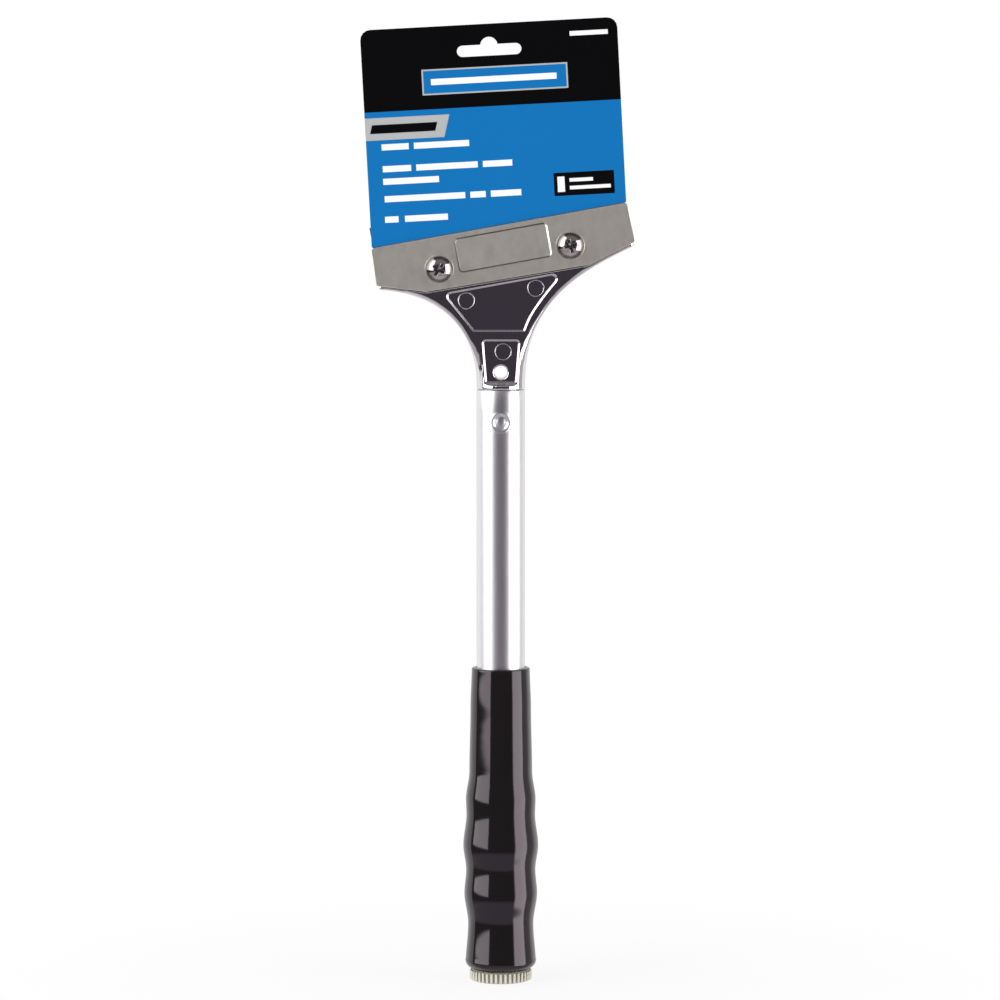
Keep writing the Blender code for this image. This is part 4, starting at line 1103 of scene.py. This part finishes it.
real = rib_node("GeometryNodeRealizeInstances", {"Geometry": set_on})
both = rib_node("GeometryNodeJoinGeometry", output=None)
ribs.links.new(real, both.inputs[0])
ribs.links.new(given["Geometry"], both.inputs[0])
plastic = {"Geometry": both.outputs[0], "Material": given["Plastic"]}
tinted = rib_node("GeometryNodeSetMaterial", plastic)
rib_node("NodeGroupOutput", {0: tinted}, output=None)
print("nodes in the rib tree:", len(ribs.nodes))

# %% [markdown]
# Ivory plastic is matt, with a slight warmth, and a moulded face is a touch uneven in sheen.
# Painted shade darkens the colour between the ribs, at their depth, which the distance from the
# axis tells.

# %% Ivory finish and finished cap
RIB_SHADE_LIMITS = (0.0112, 0.0118, 0.0002)
IVORY_PALE = (0.77, 0.73, 0.62, 1.0)
IVORY_DEEP = (0.70, 0.67, 0.57, 1.0)
# Painted shade: the dark colour between the ribs.
IVORY_SHADED = (0.34, 0.32, 0.27, 1.0)
ivory = Finish("ivory_moulding", ior=1.48)
cloud = ivory.noise(ivory.place(), 260.0, 4.0)
from_axis = ivory.length(ivory.place(scale=(1.0, 1.0, 0.0)))
# Painted shade in the band between the ribs, by the distance from the axis.
painted_rib_shade = within(ivory, from_axis, *RIB_SHADE_LIMITS)
clean = ivory.mix(cloud, IVORY_PALE, IVORY_DEEP)
ivory.feed("Base Color", ivory.mix(painted_rib_shade, clean, IVORY_SHADED))
ivory.feed("Roughness", 0.38 + 0.14 * cloud)
ivory.bump(ivory.noise(ivory.place(), 2400.0, 2.0), 0.000012)
set_ribs = cap.modifiers.new("ribs", "NODES")
set_ribs.node_group = ribs
for title, (kind, value) in sizes.items():
    set_ribs[keys[title]] = ivory.material if kind == "NodeSocketMaterial" else value
finish_modifiers(cap, 50)
print("ribs set by nodes:", sizes["Rib Count"][1])
paint(cap, ivory, "cap", "ivory_plastic", "end_cap")

# %% [markdown]
# ## Blades
#
# The five blades are plain strip steel with a ground edge, which the CAD model already has, so
# those nodes stay and only get a finish. Grinding leaves a fine, even grain.

# %% Ground steel finish
steel = Finish("ground_steel", base_color=(0.56, 0.57, 0.58, 1.0), metallic=1.0)
grind = steel.noise(steel.place(), 2400.0, 4.0, 0.7)
steel.feed("Roughness", 0.18 + 0.14 * grind)
steel.bump(grind, 0.000008)
blades = ["scraper_blade"] + [f"spare_blade_{number}" for number in (1, 2, 3, 4)]
for blade in blades:
    frame["nodes"][blade].data.materials.clear()
    frame["nodes"][blade].data.materials.append(steel.material)
print("blades with a finish:", len(blades))

# %% [markdown]
# ## Blade card
#
# The card over the edge is printed board: black on top, blue below, with plain fields and bars.
# Each field is a product of two comparisons in the card's own frame, which a Mapping node in
# Texture mode gives from the object coordinates. Only the front carries the fields, and the board's
# cut edge stays white.

# %% The card's own frame
MM = 0.001
CARD_LEAN = math.radians(3.05)
BLACK = (0.0012, 0.0012, 0.0014, 1.0)
BLUE = (0.0, 0.160, 0.46, 1.0)
WHITE = (0.90, 0.91, 0.92, 1.0)
SILVER = (0.44, 0.45, 0.46, 1.0)
BOARD = (0.72, 0.71, 0.68, 1.0)
card = Finish("printed_card", ior=1.5, specular_ior_level=0.2)
in_card = card.tilted(HEAD_PLACE, CARD_LEAN)
card_x = card.axis(in_card, "X") / MM
card_z = card.axis(in_card, "Z") / MM


def field(left, right, low, high, lean=0.0):
    """1 inside a printed field, given in mm in the card's frame; lean slants its sides."""
    shifted = card_x - card_z * lean if lean else card_x
    inside = abs(shifted - (left + right) / 2) < (right - left) / 2
    return inside * (abs(card_z - (low + high) / 2) < (high - low) / 2)


print("card leans by", round(math.degrees(CARD_LEAN), 2), "degrees")

# %% Print for the card
BAND_FOOT = 46.6
FLAT_ENOUGH = 0.7
fields = [
    (SILVER, -27.0, 29.9, 52.1, 62.1), (BLUE, -26.4, 29.3, 52.7, 61.5),
    (WHITE, -23.5, 25.5, 55.9, 58.3), (WHITE, 31.4, 46.3, 72.2, 74.0),
    (SILVER, -70.0, -29.4, 35.6, 44.3, 0.28), (BLACK, -59.0, -33.5, 38.2, 41.6, 0.28),
    (WHITE, -44.1, -33.5, 31.6, 34.0), (WHITE, -31.5, -9.9, 31.6, 34.0),
    (WHITE, -44.1, -33.0, 23.1, 25.5), (WHITE, -31.0, -7.0, 23.1, 25.5),
    (WHITE, -5.0, 6.5, 23.1, 25.5), (WHITE, -44.2, -22.4, 18.2, 20.6),
    (WHITE, -44.0, -12.5, 11.4, 13.8), (WHITE, -10.5, -4.5, 11.4, 13.8),
    (WHITE, -2.5, 9.4, 11.4, 13.8), (WHITE, -44.3, -39.0, 3.4, 5.8),
    (WHITE, -36.5, -19.7, 3.4, 5.8), (BLACK, 22.3, 45.9, 10.3, 19.3),
    (WHITE, 23.7, 26.5, 11.8, 17.8), (WHITE, 28.4, 37.6, 15.6, 17.0),
    (WHITE, 28.4, 44.4, 12.6, 14.0),
]
facing = card.axis(card.node("ShaderNodeTexCoord", output="Normal"), "Y")
ink = card.mix(card_z > BAND_FOOT, BLUE, BLACK)
for tint, *sides in fields:
    ink = card.mix(field(*sides) * (facing < -FLAT_ENOUGH), ink, tint)
fibre = card.noise(card.place(), 3000.0, 3.0)
card.feed("Base Color", card.mix(abs(facing) > FLAT_ENOUGH, BOARD, ink))
card.feed("Roughness", 0.30 + 0.06 * fibre)
card.bump(card.noise(card.place(), 90.0, 2.0) + fibre * 0.02, 0.00006)
frame["nodes"]["blade_card"].data.materials.clear()
frame["nodes"]["blade_card"].data.materials.append(card.material)
print("fields on the card:", len(fields))
